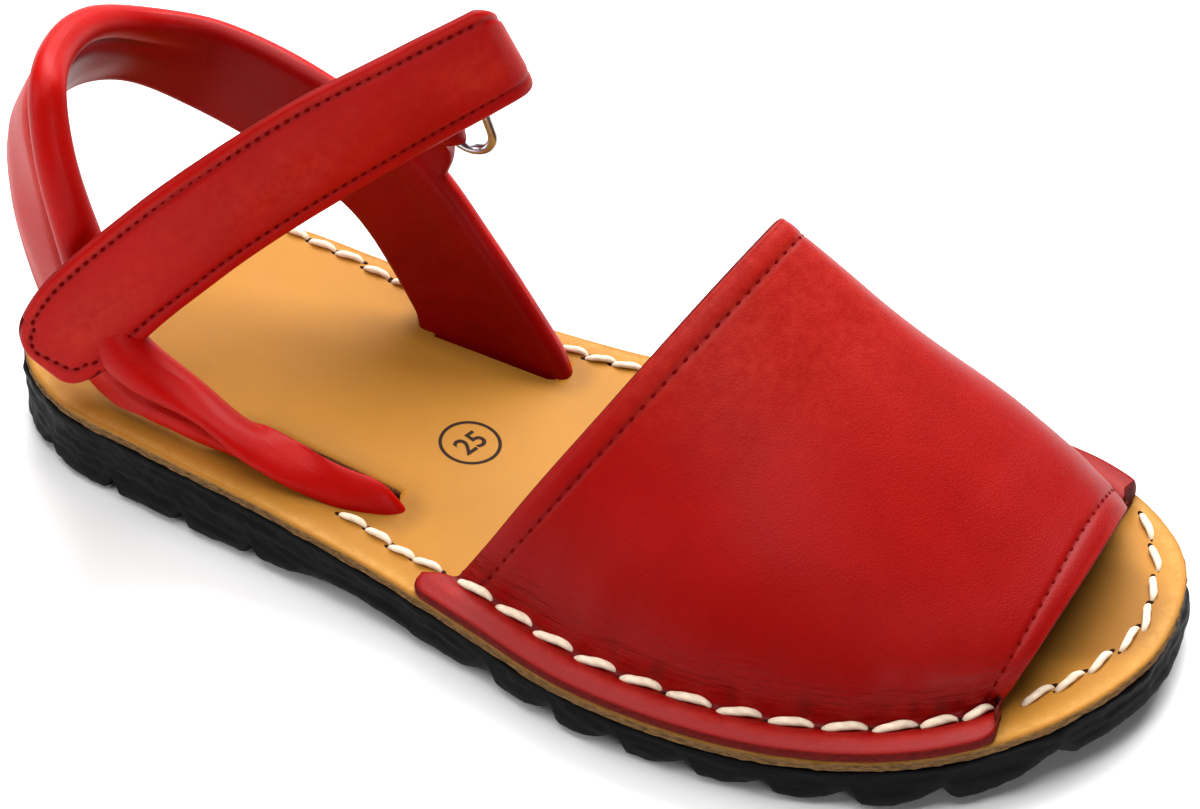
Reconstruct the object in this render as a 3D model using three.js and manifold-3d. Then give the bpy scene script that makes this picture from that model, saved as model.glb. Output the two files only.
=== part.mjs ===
// A child's open-toed sandal for the right foot, standing empty on its sole.
// Units are millimetres. +Z is up, the toe points to -Y, the heel to +Y, and the
// lateral side is -X. The sole unit carries a leather footbed, an arched vamp is
// stitched down on the footbed's edge, and a padded heel strap comes up through two
// slots in the footbed. The ankle strap starts on the heel strap's lateral side, runs
// through a metal ring on its medial side, folds there and comes back on top.

import * as THREE from 'three';
import { mergeVertices } from 'three/addons/utils/BufferGeometryUtils.js';
import Module from 'manifold-3d';

const wasm = await Module();
wasm.setup();

// Sole
const soleLength = 172;
const ballWidth = 77;
const heelRubber = 10.3;
const foreRubber = 5.5;
const toeSpring = 3.3;
const waistLift = 2.0;
const heelBevel = 2.6;
const bevelLength = 8;
const treadEdge = 0.7;
const sideGroove = 0.5;

// Lugs along the lower edge
const heelLugPitch = 12.4;
const foreLugPitch = 10.4;
const lugGrooveWidth = 2.6;
const lugGrooveDepth = 1.5;

// Leather
const footbedThickness = 1.8;
const vampThickness = 1.6;
const flangeWidth = 5.8;
const flangeCorner = 2.7;
const heelStrapThickness = 4.2;

// Ankle strap: its outer layer, the narrower inner layer, and the eye in its fold
const ankleStrapThickness = 2.1;
const ankleStrapWidth = 17;
const innerLayerWidth = 10;
const innerLayerShare = 0.86;
const layerOverlap = 0.3;
const tipWidthShare = 0.35;
const eyeLength = 6;
const eyeClosing = 6;

// Heights that the straps and the vamp reach
const vampHeight = 41.5;
const strapHeight = 50;

// Ring, and how it leans behind the ankle strap from the bar in the fold
const ringWire = 1.6;
const ringInnerWidth = 5.6;
const ringPlay = 3.9;
const ringSetback = 2.3;
const ringLean = THREE.MathUtils.degToRad(52);

// Tab that holds the ring's second bar
const tabRootWidth = 11;
const tabLeather = 1.1;
const tabLoop = 4.4;

// Clearance between two pieces that meet, and the lateral slot's wide opening
const clearance = 0.3;
const slotPlay = 2.0;

const toeY = -soleLength / 2;
const halfBall = ballWidth / 2;
const eyeWidth = ringWire + 2 * clearance;
const foldRadius = (eyeWidth + ankleStrapThickness) / 2;
const ringInnerLength = innerLayerWidth + 2 * ringPlay;
const ringBarGap = ringInnerWidth + ringWire;
const tabThickness = eyeWidth + 2 * tabLeather;
const tabWidth = 2 * ringPlay - 3 * clearance;

// Where the sole's profile changes, as shares of its length from the toe
const profile = {
  topSpring: 0.28,
  underSpring: 0.17,
  riseStart: 0.36,
  riseEnd: 0.82,
  waist: 0.61,
  waistReach: 0.11,
  foreLugsEnd: 0.464,
  heelLugsStart: 0.7,
};

// The outsole's side from tread to top: how far up each level lies, as a share of the
// rubber's height, and how far inside the outline
const sideLevels = [
  { name: 'tread', share: 0, inset: treadEdge },
  { name: 'over the tread', share: 0.16, inset: 0 },
  { name: 'under the groove', share: 0.44, inset: 0 },
  { name: 'groove', share: 0.5, inset: sideGroove },
  { name: 'over the groove', share: 0.56, inset: 0 },
  { name: 'top', share: 1, inset: 0 },
];

// Outline of the sole: along is a share of its length from the toe, across is a share
// of half the ball's width, from the middle of the foot.
const lateralOutline = [
  { name: 'toe', along: 0.0, across: 0.18 },
  { name: 'toe corner', along: 0.022, across: -0.21 },
  { name: 'little toe', along: 0.07, across: -0.535 },
  { name: 'outer toes', along: 0.125, across: -0.74 },
  { name: 'outer ball', along: 0.2, across: -0.89 },
  { name: 'ball', along: 0.29, across: -0.97 },
  { name: 'behind ball', along: 0.385, across: -0.975 },
  { name: 'outer waist', along: 0.48, across: -0.9 },
  { name: 'waist', along: 0.57, across: -0.84 },
  { name: 'behind waist', along: 0.68, across: -0.797 },
  { name: 'heel side', along: 0.8, across: -0.76 },
  { name: 'heel', along: 0.907, across: -0.685 },
  { name: 'heel corner', along: 0.972, across: -0.465 },
  { name: 'heel back', along: 1.0, across: -0.07 },
];
const medialOutline = [
  { name: 'toe', along: 0.0, across: 0.18 },
  { name: 'big toe', along: 0.022, across: 0.61 },
  { name: 'inner toe', along: 0.07, across: 0.845 },
  { name: 'inner ball', along: 0.13, across: 0.98 },
  { name: 'ball', along: 0.2, across: 1.02 },
  { name: 'behind ball', along: 0.3, across: 0.985 },
  { name: 'inner waist', along: 0.4, across: 0.885 },
  { name: 'arch front', along: 0.49, across: 0.765 },
  { name: 'arch', along: 0.57, across: 0.675 },
  { name: 'waist', along: 0.66, across: 0.615 },
  { name: 'heel side', along: 0.78, across: 0.63 },
  { name: 'heel', along: 0.88, across: 0.605 },
  { name: 'heel corner', along: 0.96, across: 0.385 },
  { name: 'heel back', along: 1.0, across: -0.07 },
];

// The vamp's back and front edges: where along the sole each side of the arch stands and
// where its flange ends on the outline, how high the ridge is as a share of vampHeight,
// how far each point leans to the toe as it rises, where the ridge lies across the foot,
// and how full each side of the arch is.
const vampEdges = [
  {
    name: 'instep', lateral: 0.513, lateralEnd: 0.537, medial: 0.508, medialEnd: 0.508,
    height: 1.0, lean: 0.56, ridge: 0.345, outer: 1.75, inner: 2.6,
  },
  {
    name: 'toe opening', lateral: 0.05, lateralEnd: 0.062, medial: 0.07, medialEnd: 0.09,
    height: 0.215, lean: 0.36, ridge: 0.3, outer: 2.1, inner: 1.75,
  },
];

// The heel strap's two edges from its lateral slot, round the heel, to its medial slot.
// along and across are shares as on the sole, up is a share of strapHeight above the
// footbed.
const heelStrapSections = [
  { name: 'lateral slot', upper: [0.597, -0.53, 0.016], lower: [0.735, -0.52, 0.009] },
  { name: 'above the slot', upper: [0.64, -0.61, 0.053], lower: [0.75, -0.535, 0.051] },
  { name: 'lateral run', upper: [0.695, -0.662, 0.095], lower: [0.79, -0.55, 0.051] },
  { name: 'lateral bend', upper: [0.767, -0.7, 0.164], lower: [0.831, -0.565, 0.062] },
  { name: 'lateral rise', upper: [0.826, -0.7, 0.312], lower: [0.884, -0.571, 0.142] },
  { name: 'lateral side', upper: [0.863, -0.662, 0.592], lower: [0.93, -0.532, 0.312] },
  { name: 'lateral top', upper: [0.89, -0.61, 0.832], lower: [0.962, -0.43, 0.5] },
  { name: 'back corner', upper: [0.91, -0.506, 0.982], lower: [0.983, -0.3, 0.635] },
  { name: 'heel top', upper: [0.94, -0.24, 0.965], lower: [0.987, -0.09, 0.665] },
  { name: 'heel back', upper: [0.952, 0.03, 0.9], lower: [0.982, 0.08, 0.65] },
  { name: 'medial corner', upper: [0.94, 0.27, 0.8], lower: [0.963, 0.27, 0.59] },
  { name: 'medial back', upper: [0.895, 0.42, 0.74], lower: [0.918, 0.4, 0.5] },
  { name: 'medial side', upper: [0.8, 0.47, 0.651], lower: [0.84, 0.45, 0.4] },
  { name: 'medial fall', upper: [0.708, 0.475, 0.514], lower: [0.775, 0.465, 0.283] },
  { name: 'medial front', upper: [0.648, 0.465, 0.315], lower: [0.73, 0.445, 0.12] },
  { name: 'medial slot', upper: [0.57, 0.45, 0.019], lower: [0.703, 0.385, 0.015] },
];

// The ankle strap's middle line from the fold by the ring to its free end, with the
// same columns, and width as a share of ankleStrapWidth.
const ankleStrapLine = [
  { name: 'fold', along: 0.634, across: 0.425, up: 1.019, width: 0.88 },
  { name: 'inner instep', along: 0.672, across: 0.17, up: 0.948, width: 0.95 },
  { name: 'instep', along: 0.728, across: -0.17, up: 0.81, width: 1 },
  { name: 'outer instep', along: 0.79, across: -0.47, up: 0.601, width: 1 },
  { name: 'outer ankle', along: 0.853, across: -0.7, up: 0.36, width: 1 },
  { name: 'free end', along: 0.881, across: -0.768, up: 0.22, width: 1 },
];
// Way that the ankle strap's width runs, from its upper edge to its lower edge
const ankleWidthWay = new THREE.Vector3(0.3, -0.29, -0.907).normalize();

// Where the tab is sewn to the heel strap, in the same shares
const tabRoot = { along: 0.726, across: 0.475, up: 0.53 };

// How closely each form is faceted
const soleSteps = 52;
const vampSteps = 24;
const archSteps = 11;
const strapSteps = 58;
const ankleSteps = 26;
const foldSteps = 8;
const roundSteps = 5;
const ringSteps = 8;
const sampleSteps = 24;
const weld = 0.001;

const colours = { rubber: 0x28282a, tan: 0xdd9c4a, red: 0xb01c14, steel: 0xb8b8ba };

// Smooth step from 0 to 1
function ease(t) {
  const s = THREE.MathUtils.clamp(t, 0, 1);
  return s * s * (3 - 2 * s);
}

// Share of the sole's length from the toe at a given y
function alongAt(y) {
  return (y - toeY) / soleLength;
}

// The outsole's upper face: thick at the heel, thin at the ball, curled up at the toe
function rubberTop(y) {
  const along = alongAt(y);
  const rise = ease((along - profile.riseStart) / (profile.riseEnd - profile.riseStart));
  const curl = Math.max(0, 1 - along / profile.topSpring);
  return THREE.MathUtils.lerp(foreRubber, heelRubber, rise) + toeSpring * curl ** 2;
}

// The outsole's underside: flat at heel and ball, lifted at waist, toe and heel back
function rubberUnder(y) {
  const along = alongAt(y);
  const curl = Math.max(0, 1 - along / profile.underSpring);
  const waist = THREE.MathUtils.clamp((along - profile.waist) / profile.waistReach, -1, 1);
  const bevel = Math.max(0, 1 - (soleLength / 2 - y) / bevelLength);
  return toeSpring * curl ** 2 + waistLift * Math.cos((waist * Math.PI) / 2) ** 2 + heelBevel * bevel;
}

const footbedUnder = (y) => rubberTop(y) + clearance;
const footbedTop = (y) => footbedUnder(y) + footbedThickness;
const flangeUnder = (y) => footbedTop(y) + clearance;
const flangeTop = (y) => flangeUnder(y) + vampThickness;

// A point over the footbed from shares: along the sole, across half the ball, and up
function place(along, across, up) {
  const y = toeY + along * soleLength;
  return new THREE.Vector3(across * halfBall, y, footbedTop(y) + up * strapHeight);
}

// Samples of one side of the outline, from toe to heel
function sideCurve(rows) {
  const points = rows.map((row) => new THREE.Vector3(row.across * halfBall, toeY + row.along * soleLength, 0));
  return new THREE.CatmullRomCurve3(points, false, 'centripetal').getPoints(rows.length * sampleSteps);
}
const lateralSide = sideCurve(lateralOutline);
const medialSide = sideCurve(medialOutline);

// Where a side of the outline crosses a given y
function outlineX(side, y) {
  let k = 0;
  while (k < side.length - 2 && side[k + 1].y < y) k += 1;
  const share = THREE.MathUtils.clamp((y - side[k].y) / (side[k + 1].y - side[k].y), 0, 1);
  return THREE.MathUtils.lerp(side[k].x, side[k + 1].x, share);
}

// Stations along the sole, closer together at its round ends
const stations = Array.from({ length: soleSteps + 1 }, (_, k) => {
  const turn = (Math.PI * (k + 0.5)) / (soleSteps + 1);
  return toeY + (soleLength * (1 - Math.cos(turn))) / 2;
});

// The outline as a loop: lateral side from toe to heel, then medial side back again
const outlineLoop = [
  ...stations.map((y) => new THREE.Vector2(outlineX(lateralSide, y), y)),
  ...[...stations].reverse().map((y) => new THREE.Vector2(outlineX(medialSide, y), y)),
];

// The outline moved inwards by an inset
function insetLoop(inset) {
  const count = outlineLoop.length;
  return outlineLoop.map((point, k) => {
    const along = outlineLoop[(k + 1) % count].clone().sub(outlineLoop[(k + count - 1) % count]).normalize();
    return new THREE.Vector2(point.x + along.y * inset, point.y - along.x * inset);
  });
}

// A closed body from vertices and triangles, with its faces pointing out
function body(vertices, triangles) {
  let volume = 0;
  for (const [a, b, c] of triangles) {
    volume += vertices[a].clone().cross(vertices[b]).dot(vertices[c]);
  }
  const faces = volume < 0 ? triangles.map(([a, b, c]) => [a, c, b]) : triangles;
  const mesh = new wasm.Mesh({
    numProp: 3,
    vertProperties: new Float32Array(vertices.flatMap((v) => [v.x, v.y, v.z])),
    triVerts: new Uint32Array(faces.flat()),
  });
  return new wasm.Manifold(mesh);
}

// Two triangles for the quad a, b, c, d
function quad(a, b, c, d) {
  return [[a, b, c], [a, c, d]];
}

// A body from a stack of loops over the sole's outline. Each level has an inset and a
// height for each y. The ends are closed by strips that run across the sole.
function stack(levels) {
  const count = outlineLoop.length;
  const vertices = [];
  const triangles = [];
  levels.forEach(({ inset, height }, level) => {
    for (const point of insetLoop(inset)) vertices.push(new THREE.Vector3(point.x, point.y, height(point.y)));
    if (level === 0) return;
    for (let k = 0; k < count; k += 1) {
      const next = (k + 1) % count;
      const low = (level - 1) * count;
      const high = level * count;
      triangles.push(...quad(low + k, low + next, high + next, high + k));
    }
  });
  const top = (levels.length - 1) * count;
  for (let k = 0; k + 1 < stations.length; k += 1) {
    const across = count - 1 - k;
    triangles.push(...quad(k, across, across - 1, k + 1));
    triangles.push(...quad(top + k, top + k + 1, top + across - 1, top + across));
  }
  return body(vertices, triangles);
}

// A body swept through loops of equal length, closed by a fan at each end, or by running
// on from its last loop to its first
function sweep(loops, ring = false) {
  const count = loops[0].length;
  const triangles = [];
  const steps = ring ? loops.length : loops.length - 1;
  for (let step = 0; step < steps; step += 1) {
    const here = step * count;
    const there = ((step + 1) % loops.length) * count;
    for (let k = 0; k < count; k += 1) {
      const next = (k + 1) % count;
      triangles.push(...quad(here + k, here + next, there + next, there + k));
    }
  }
  const last = (loops.length - 1) * count;
  for (let k = 1; !ring && k + 1 < count; k += 1) {
    triangles.push([0, k + 1, k], [last, last + k, last + k + 1]);
  }
  return body(loops.flat(), triangles);
}

// A strap's section: flat in the middle and round along both edges
function strapSection(centre, widthWay, thickWay, width, thickness) {
  const radius = thickness / 2;
  const flat = Math.max(width / 2 - radius, radius * 0.1);
  const points = [];
  for (const side of [1, -1]) {
    for (let k = 0; k < roundSteps; k += 1) {
      const turn = Math.PI * (k / (roundSteps - 1) - 0.5);
      const out = side * (flat + radius * Math.cos(turn));
      const lift = side * radius * Math.sin(turn);
      points.push(centre.clone().addScaledVector(widthWay, out).addScaledVector(thickWay, lift));
    }
  }
  return points;
}

// A strap along a line of frames, each with a centre, a width way and a width
function strap(frames, thickness) {
  const loops = frames.map((frame, k) => {
    const before = frames[Math.max(k - 1, 0)].centre;
    const after = frames[Math.min(k + 1, frames.length - 1)].centre;
    const along = after.clone().sub(before).normalize();
    const thickWay = frame.widthWay.clone().cross(along).normalize();
    return strapSection(frame.centre, frame.widthWay, thickWay, frame.width, thickness);
  });
  return sweep(loops);
}

// A flat-sided prism across the sole, from a triangle in y and z
function crossCut(corners) {
  const reach = ballWidth;
  return sweep([-reach, reach].map((x) => corners.map(([y, z]) => new THREE.Vector3(x, y, z))));
}

// Outsole: rubber with a groove round its side and lugs along its lower edge
function makeOutsole() {
  let outsole = stack(sideLevels.map(({ share, inset }) => ({
    inset,
    height: (y) => THREE.MathUtils.lerp(rubberUnder(y), rubberTop(y), share),
  })));
  const heelStart = toeY + profile.heelLugsStart * soleLength;
  const foreEnd = toeY + profile.foreLugsEnd * soleLength;
  for (let y = soleLength / 2 - bevelLength - heelLugPitch / 2; y > heelStart; y -= heelLugPitch) {
    outsole = outsole.subtract(lugGroove(y, 0));
  }
  for (let y = foreEnd; y > toeY + foreLugPitch / 2; y -= foreLugPitch) {
    outsole = outsole.subtract(lugGroove(y, lugGrooveWidth / 2));
  }
  return outsole;
}

// One groove between two lugs. Its deepest line is moved towards the toe by a lean.
function lugGroove(y, lean) {
  const deep = rubberUnder(y) + lugGrooveDepth;
  const wide = lugGrooveWidth;
  return crossCut([[y - wide, -lugGrooveDepth], [y + wide, -lugGrooveDepth], [y - lean, deep]]);
}

// Slot in the footbed for an end of the heel strap, wider than it by the play given
function slot(section, play) {
  const { upper, lower } = section;
  const front = place(...upper);
  const back = place(...lower);
  const middle = front.clone().add(back).multiplyScalar(0.5);
  const way = back.clone().sub(front).setZ(0);
  const length = way.length() + 2 * clearance + play / 2;
  way.normalize();
  const side = new THREE.Vector3(-way.y, way.x, 0);
  const width = heelStrapThickness + 2 * clearance + play;
  const shift = side.clone().multiplyScalar((Math.sign(middle.x) * play) / 2);
  const over = footbedTop(middle.y) + heelRubber;
  return sweep([0, over].map((z) => (
    strapSection(middle.clone().add(shift).setZ(z), way, side, length, width)
  )));
}

// Footbed: leather with a slot on each side
function makeFootbed() {
  const board = stack([
    { inset: 0, height: footbedUnder },
    { inset: 0, height: footbedTop },
  ]);
  return board
    .subtract(slot(heelStrapSections[0], slotPlay))
    .subtract(slot(heelStrapSections.at(-1), 0))
    .subtract(makeHeelStrap(clearance));
}

// One value of the vamp between its two edges
function vampValue(column, share) {
  return THREE.MathUtils.lerp(vampEdges[0][column], vampEdges[1][column], share);
}

// A point of one side of the outline, moved inwards by an inset
function onOutline(side, along, inset) {
  const y = toeY + along * soleLength;
  const step = 0.5;
  const way = new THREE.Vector2(outlineX(side, y + step) - outlineX(side, y - step), 2 * step).normalize();
  const inward = side === lateralSide ? inset : -inset;
  const point = new THREE.Vector3(outlineX(side, y) + way.y * inward, y - way.x * inward, 0);
  return point.setZ(flangeTop(point.y));
}

// A side's flange: its outer edge, with rounded corners, and the foot of the arch
function flange(side, name, share) {
  const [back, front] = vampEdges.map((row) => row.lateral * soleLength);
  const fromEnd = Math.min(share, 1 - share) * (back - front);
  const round = flangeCorner - Math.min(fromEnd, flangeCorner);
  const cut = flangeCorner - Math.sqrt(flangeCorner ** 2 - round ** 2);
  return {
    edge: onOutline(side, vampValue(`${name}End`, share), cut),
    inner: onOutline(side, vampValue(name, share), flangeWidth),
  };
}

// One line of the vamp's outer face, from the lateral flange over the arch to the medial
function vampLine(share) {
  const lateral = flange(lateralSide, 'lateral', share);
  const medial = flange(medialSide, 'medial', share);
  const height = vampValue('height', share) * vampHeight;
  const ridge = vampValue('ridge', share) * halfBall;
  const lean = vampValue('lean', share);
  const arch = [];
  for (const [foot, full] of [[lateral.inner, 'outer'], [medial.inner, 'inner']]) {
    const power = 2 / vampValue(full, share);
    const half = [];
    for (let k = 0; k <= archSteps; k += 1) {
      const turn = (k / archSteps) * (Math.PI / 2);
      const out = Math.cos(turn) ** power;
      const rise = Math.sin(turn) ** power;
      const x = k === archSteps ? ridge : ridge + (foot.x - ridge) * out;
      const across = (x - lateral.inner.x) / (medial.inner.x - lateral.inner.x);
      const base = lateral.inner.clone().lerp(medial.inner, across);
      half.push(new THREE.Vector3(x, base.y - lean * height * rise, base.z + height * rise));
    }
    arch.push(half);
  }
  return [lateral.edge, ...arch[0], ...arch[1].reverse().slice(1), medial.edge];
}

// Vamp: one wall of even thickness with its flanges, open in front and behind
function makeVamp() {
  const outer = Array.from({ length: vampSteps + 1 }, (_, k) => vampLine(k / vampSteps));
  const rows = outer.length;
  const columns = outer[0].length;
  const inner = outer.map((line, row) => line.map((point, column) => {
    const ahead = outer[Math.min(row + 1, rows - 1)][column];
    const behind = outer[Math.max(row - 1, 0)][column];
    const right = line[Math.min(column + 1, columns - 1)];
    const left = line[Math.max(column - 1, 0)];
    const across = right.clone().sub(left);
    const along = ahead.clone().sub(behind);
    const inward = across.cross(along).normalize();
    const onFlange = column === 0 || column === columns - 1;
    const way = onFlange ? new THREE.Vector3(0, 0, -1) : inward;
    return point.clone().addScaledVector(way, vampThickness);
  }));
  const vertices = [...outer.flat(), ...inner.flat()];
  const triangles = [];
  const at = (row, column) => row * columns + column;
  const under = rows * columns;
  for (let row = 0; row + 1 < rows; row += 1) {
    for (let column = 0; column + 1 < columns; column += 1) {
      const corners = [at(row, column), at(row, column + 1), at(row + 1, column + 1), at(row + 1, column)];
      triangles.push(...quad(...corners));
      triangles.push(...quad(...corners.map((corner) => under + corner).reverse()));
    }
    for (const [here, there] of [[at(row, 0), at(row + 1, 0)], [at(row + 1, columns - 1), at(row, columns - 1)]]) {
      triangles.push(...quad(here, there, under + there, under + here));
    }
  }
  for (let column = 0; column + 1 < columns; column += 1) {
    triangles.push(...quad(at(0, column + 1), at(0, column), under + at(0, column), under + at(0, column + 1)));
    const here = at(rows - 1, column);
    triangles.push(...quad(here, here + 1, under + here + 1, under + here));
  }
  return body(vertices, triangles);
}

// Heel strap: its two edges are smooth curves, and its ends stand in the slots. A room
// greater than 0 makes it larger all over, to cut what it passes through.
function makeHeelStrap(room) {
  const edges = ['upper', 'lower'].map((edge) => {
    const points = heelStrapSections.map((section) => place(...section[edge]));
    return new THREE.CatmullRomCurve3(points, false, 'centripetal');
  });
  const frames = [];
  for (let k = 0; k <= strapSteps; k += 1) {
    const upper = edges[0].getPoint(k / strapSteps);
    const lower = edges[1].getPoint(k / strapSteps);
    frames.push({
      centre: upper.clone().add(lower).multiplyScalar(0.5),
      widthWay: upper.clone().sub(lower).normalize(),
      width: upper.distanceTo(lower) + heelStrapThickness + 2 * room,
    });
  }
  return strap(frames, heelStrapThickness + 2 * room);
}

// The strap's end in a slot, standing upright from the outsole into the strap
function makeSlotEnd({ upper, lower }) {
  const front = place(...upper);
  const back = place(...lower);
  const middle = front.clone().add(back).multiplyScalar(0.5);
  const way = back.clone().sub(front).setZ(0);
  const length = way.length();
  way.normalize();
  const side = new THREE.Vector3(-way.y, way.x, 0);
  const under = Math.max(footbedUnder(front.y), footbedUnder(back.y));
  const width = heelStrapThickness - clearance;
  return sweep([under, middle.z].map((z) => (
    strapSection(middle.clone().setZ(z), way, side, length, width)
  )));
}

// Frames of the ankle strap's outer layer, from the fold to the free end. outWay points
// away from the foot.
function ankleFrames() {
  const points = ankleStrapLine.map((row) => place(row.along, row.across, row.up));
  const curve = new THREE.CatmullRomCurve3(points, false, 'centripetal');
  const widths = new THREE.CatmullRomCurve3(
    ankleStrapLine.map((row) => new THREE.Vector3(row.width * ankleStrapWidth, 0, 0)),
  );
  const length = curve.getLength();
  return Array.from({ length: ankleSteps + 1 }, (_, k) => {
    const share = k / ankleSteps;
    const fromEnd = (1 - share) * length;
    const round = Math.max(0, 1 - fromEnd / (ankleStrapWidth / 2));
    const tip = Math.max(Math.sqrt(1 - round ** 2), tipWidthShare);
    const along = curve.getTangent(share);
    const widthWay = ankleWidthWay.clone().addScaledVector(along, -ankleWidthWay.dot(along)).normalize();
    return {
      centre: curve.getPoint(share),
      along,
      widthWay,
      outWay: along.clone().cross(widthWay).normalize(),
      width: widths.getPoint(share).x * tip,
    };
  });
}

// A frame of the ankle strap moved inwards and narrowed, with the same lower edge
function narrowed(frame, share, inward, back) {
  const width = THREE.MathUtils.lerp(frame.width, innerLayerWidth, share);
  const centre = frame.centre.clone()
    .addScaledVector(frame.outWay, -inward)
    .addScaledVector(frame.along, -back)
    .addScaledVector(frame.widthWay, (frame.width - width) / 2);
  return { ...frame, centre, width };
}

// Ankle strap: outer layer, fold with an eye for the ring's bar, and inner layer
function makeAnkleStrap() {
  const outer = ankleFrames();
  const folded = [outer[0]];
  for (let k = 1; k <= foldSteps; k += 1) {
    const turn = (k / foldSteps) * Math.PI;
    const inward = foldRadius * (1 - Math.cos(turn));
    folded.push(narrowed(outer[0], k / foldSteps, inward, foldRadius * Math.sin(turn)));
  }
  let run = 0;
  for (let k = 1; k < ankleSteps * innerLayerShare; k += 1) {
    run += outer[k].centre.distanceTo(outer[k - 1].centre);
    const closed = ease((run - eyeLength) / eyeClosing);
    const apart = THREE.MathUtils.lerp(2 * foldRadius, ankleStrapThickness - layerOverlap, closed);
    folded.push(narrowed(outer[k], 1, apart, 0));
  }
  return strap(outer, ankleStrapThickness).add(strap(folded, ankleStrapThickness));
}

// The ring's bars run along the ankle strap's width. One lies in the fold, and the ring
// leans from it behind the inner layer, where the tab holds the other.
function ringFrame() {
  const { centre, along, widthWay, outWay, width } = ankleFrames()[0];
  const lean = along.clone()
    .multiplyScalar(Math.cos(ringLean))
    .addScaledVector(outWay, -Math.sin(ringLean));
  const drop = (width - innerLayerWidth) / 2 + ringPlay - clearance;
  const bar = centre.clone()
    .addScaledVector(outWay, -foldRadius)
    .addScaledVector(along, ringSetback)
    .addScaledVector(widthWay, drop);
  return { bar, long: widthWay, short: lean, out: widthWay.clone().cross(lean).normalize() };
}

// A closed loop of round wire with straight long sides and round ends
function makeRing(wire) {
  const { bar, long, short, out } = ringFrame();
  const across = ringBarGap / 2;
  const centre = bar.clone().addScaledVector(short, across);
  const straight = (ringInnerLength + ringWire) / 2 - across;
  const spine = [];
  for (const end of [1, -1]) {
    for (let k = 0; k <= ringSteps; k += 1) {
      const turn = (k / ringSteps - 0.5) * Math.PI;
      const lift = end * (straight + across * Math.cos(turn));
      const side = end * across * Math.sin(turn);
      spine.push(centre.clone().addScaledVector(long, lift).addScaledVector(short, side));
    }
  }
  const loops = spine.map((point, k) => {
    const along = spine[(k + 1) % spine.length].clone().sub(spine.at(k - 1)).normalize();
    const side = along.cross(out).normalize();
    return Array.from({ length: ringSteps }, (_, step) => {
      const turn = (step / ringSteps) * 2 * Math.PI;
      return point.clone()
        .addScaledVector(side, (Math.cos(turn) * wire) / 2)
        .addScaledVector(out, (Math.sin(turn) * wire) / 2);
    });
  });
  return sweep(loops, true);
}

// Tab from the heel strap's upper edge round the ring's second bar, in the room that the
// inner layer leaves inside the ring
function makeTab() {
  const { bar, long, short, out } = ringFrame();
  const drop = (ringInnerLength - tabWidth) / 2 - clearance;
  const second = bar.clone().addScaledVector(short, ringBarGap).addScaledVector(long, drop);
  const side = heelStrapSections.find((section) => section.name === 'medial side');
  const front = heelStrapSections.find((section) => section.name === 'medial front');
  const edgeWay = place(...front.upper).sub(place(...side.upper)).normalize();
  const rootOut = new THREE.Vector3(1, 0, 0);
  const loops = [
    strapSection(second.clone().addScaledVector(short, -tabLoop), long, out, tabWidth, tabThickness),
    strapSection(second.clone().addScaledVector(short, tabThickness / 2), long, out, tabWidth, tabThickness),
    strapSection(place(tabRoot.along, tabRoot.across, tabRoot.up), edgeWay, rootOut, tabRootWidth, 2 * tabLeather),
  ];
  return sweep(loops).subtract(makeRing(ringWire + 2 * clearance));
}

// The straps joined where they cross
function makeStraps() {
  return makeHeelStrap(0)
    .add(makeSlotEnd(heelStrapSections[0]))
    .add(makeSlotEnd(heelStrapSections.at(-1)))
    .add(makeAnkleStrap())
    .add(makeTab());
}

// A named mesh from a solid. Points closer than the weld are made one.
function piece(name, solid, colour, roughness, metalness = 0) {
  const { vertProperties, triVerts } = solid.getMesh();
  const cut = new THREE.BufferGeometry();
  cut.setAttribute('position', new THREE.BufferAttribute(vertProperties, 3));
  cut.setIndex(new THREE.BufferAttribute(triVerts, 1));
  const geometry = mergeVertices(cut, weld);
  const corners = geometry.getIndex().array;
  const kept = [];
  for (let k = 0; k < corners.length; k += 3) {
    const triangle = corners.slice(k, k + 3);
    if (new Set(triangle).size === 3) kept.push(...triangle);
  }
  geometry.setIndex(kept);
  geometry.computeVertexNormals();
  const mesh = new THREE.Mesh(geometry, new THREE.MeshStandardMaterial({ color: colour, roughness, metalness }));
  mesh.name = name;
  return mesh;
}

const sandal = new THREE.Group();
sandal.add(
  piece('outsole', makeOutsole(), colours.rubber, 0.75),
  piece('footbed', makeFootbed(), colours.tan, 0.55),
  piece('vamp', makeVamp(), colours.red, 0.42),
  piece('heel_and_ankle_straps', makeStraps(), colours.red, 0.42),
  piece('ring', makeRing(ringWire), colours.steel, 0.25, 1),
);

// The origin is on the floor under the middle of the whole sandal
const box = new THREE.Box3().setFromObject(sandal);
const middle = box.getCenter(new THREE.Vector3());
sandal.position.set(-middle.x, -middle.y, -box.min.z);

export default sandal;
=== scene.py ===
"""A child's red leather sandal for the right foot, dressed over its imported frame.

The classes hold their sizes in millimetres, and Solid.piece turns them into metres. The
toe points to -Y, the heel to +Y, the lateral side is -X, and +Z is up from the floor.
The straps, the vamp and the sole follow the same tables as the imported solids, so that
each piece lies where its solid is.
"""

import logging
import math
from dataclasses import dataclass
from enum import Enum
from math import cos, pi, radians, sin
from typing import Callable, Sequence

import bmesh
import bpy
import numpy as np
from mathutils import Matrix, Vector


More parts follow.
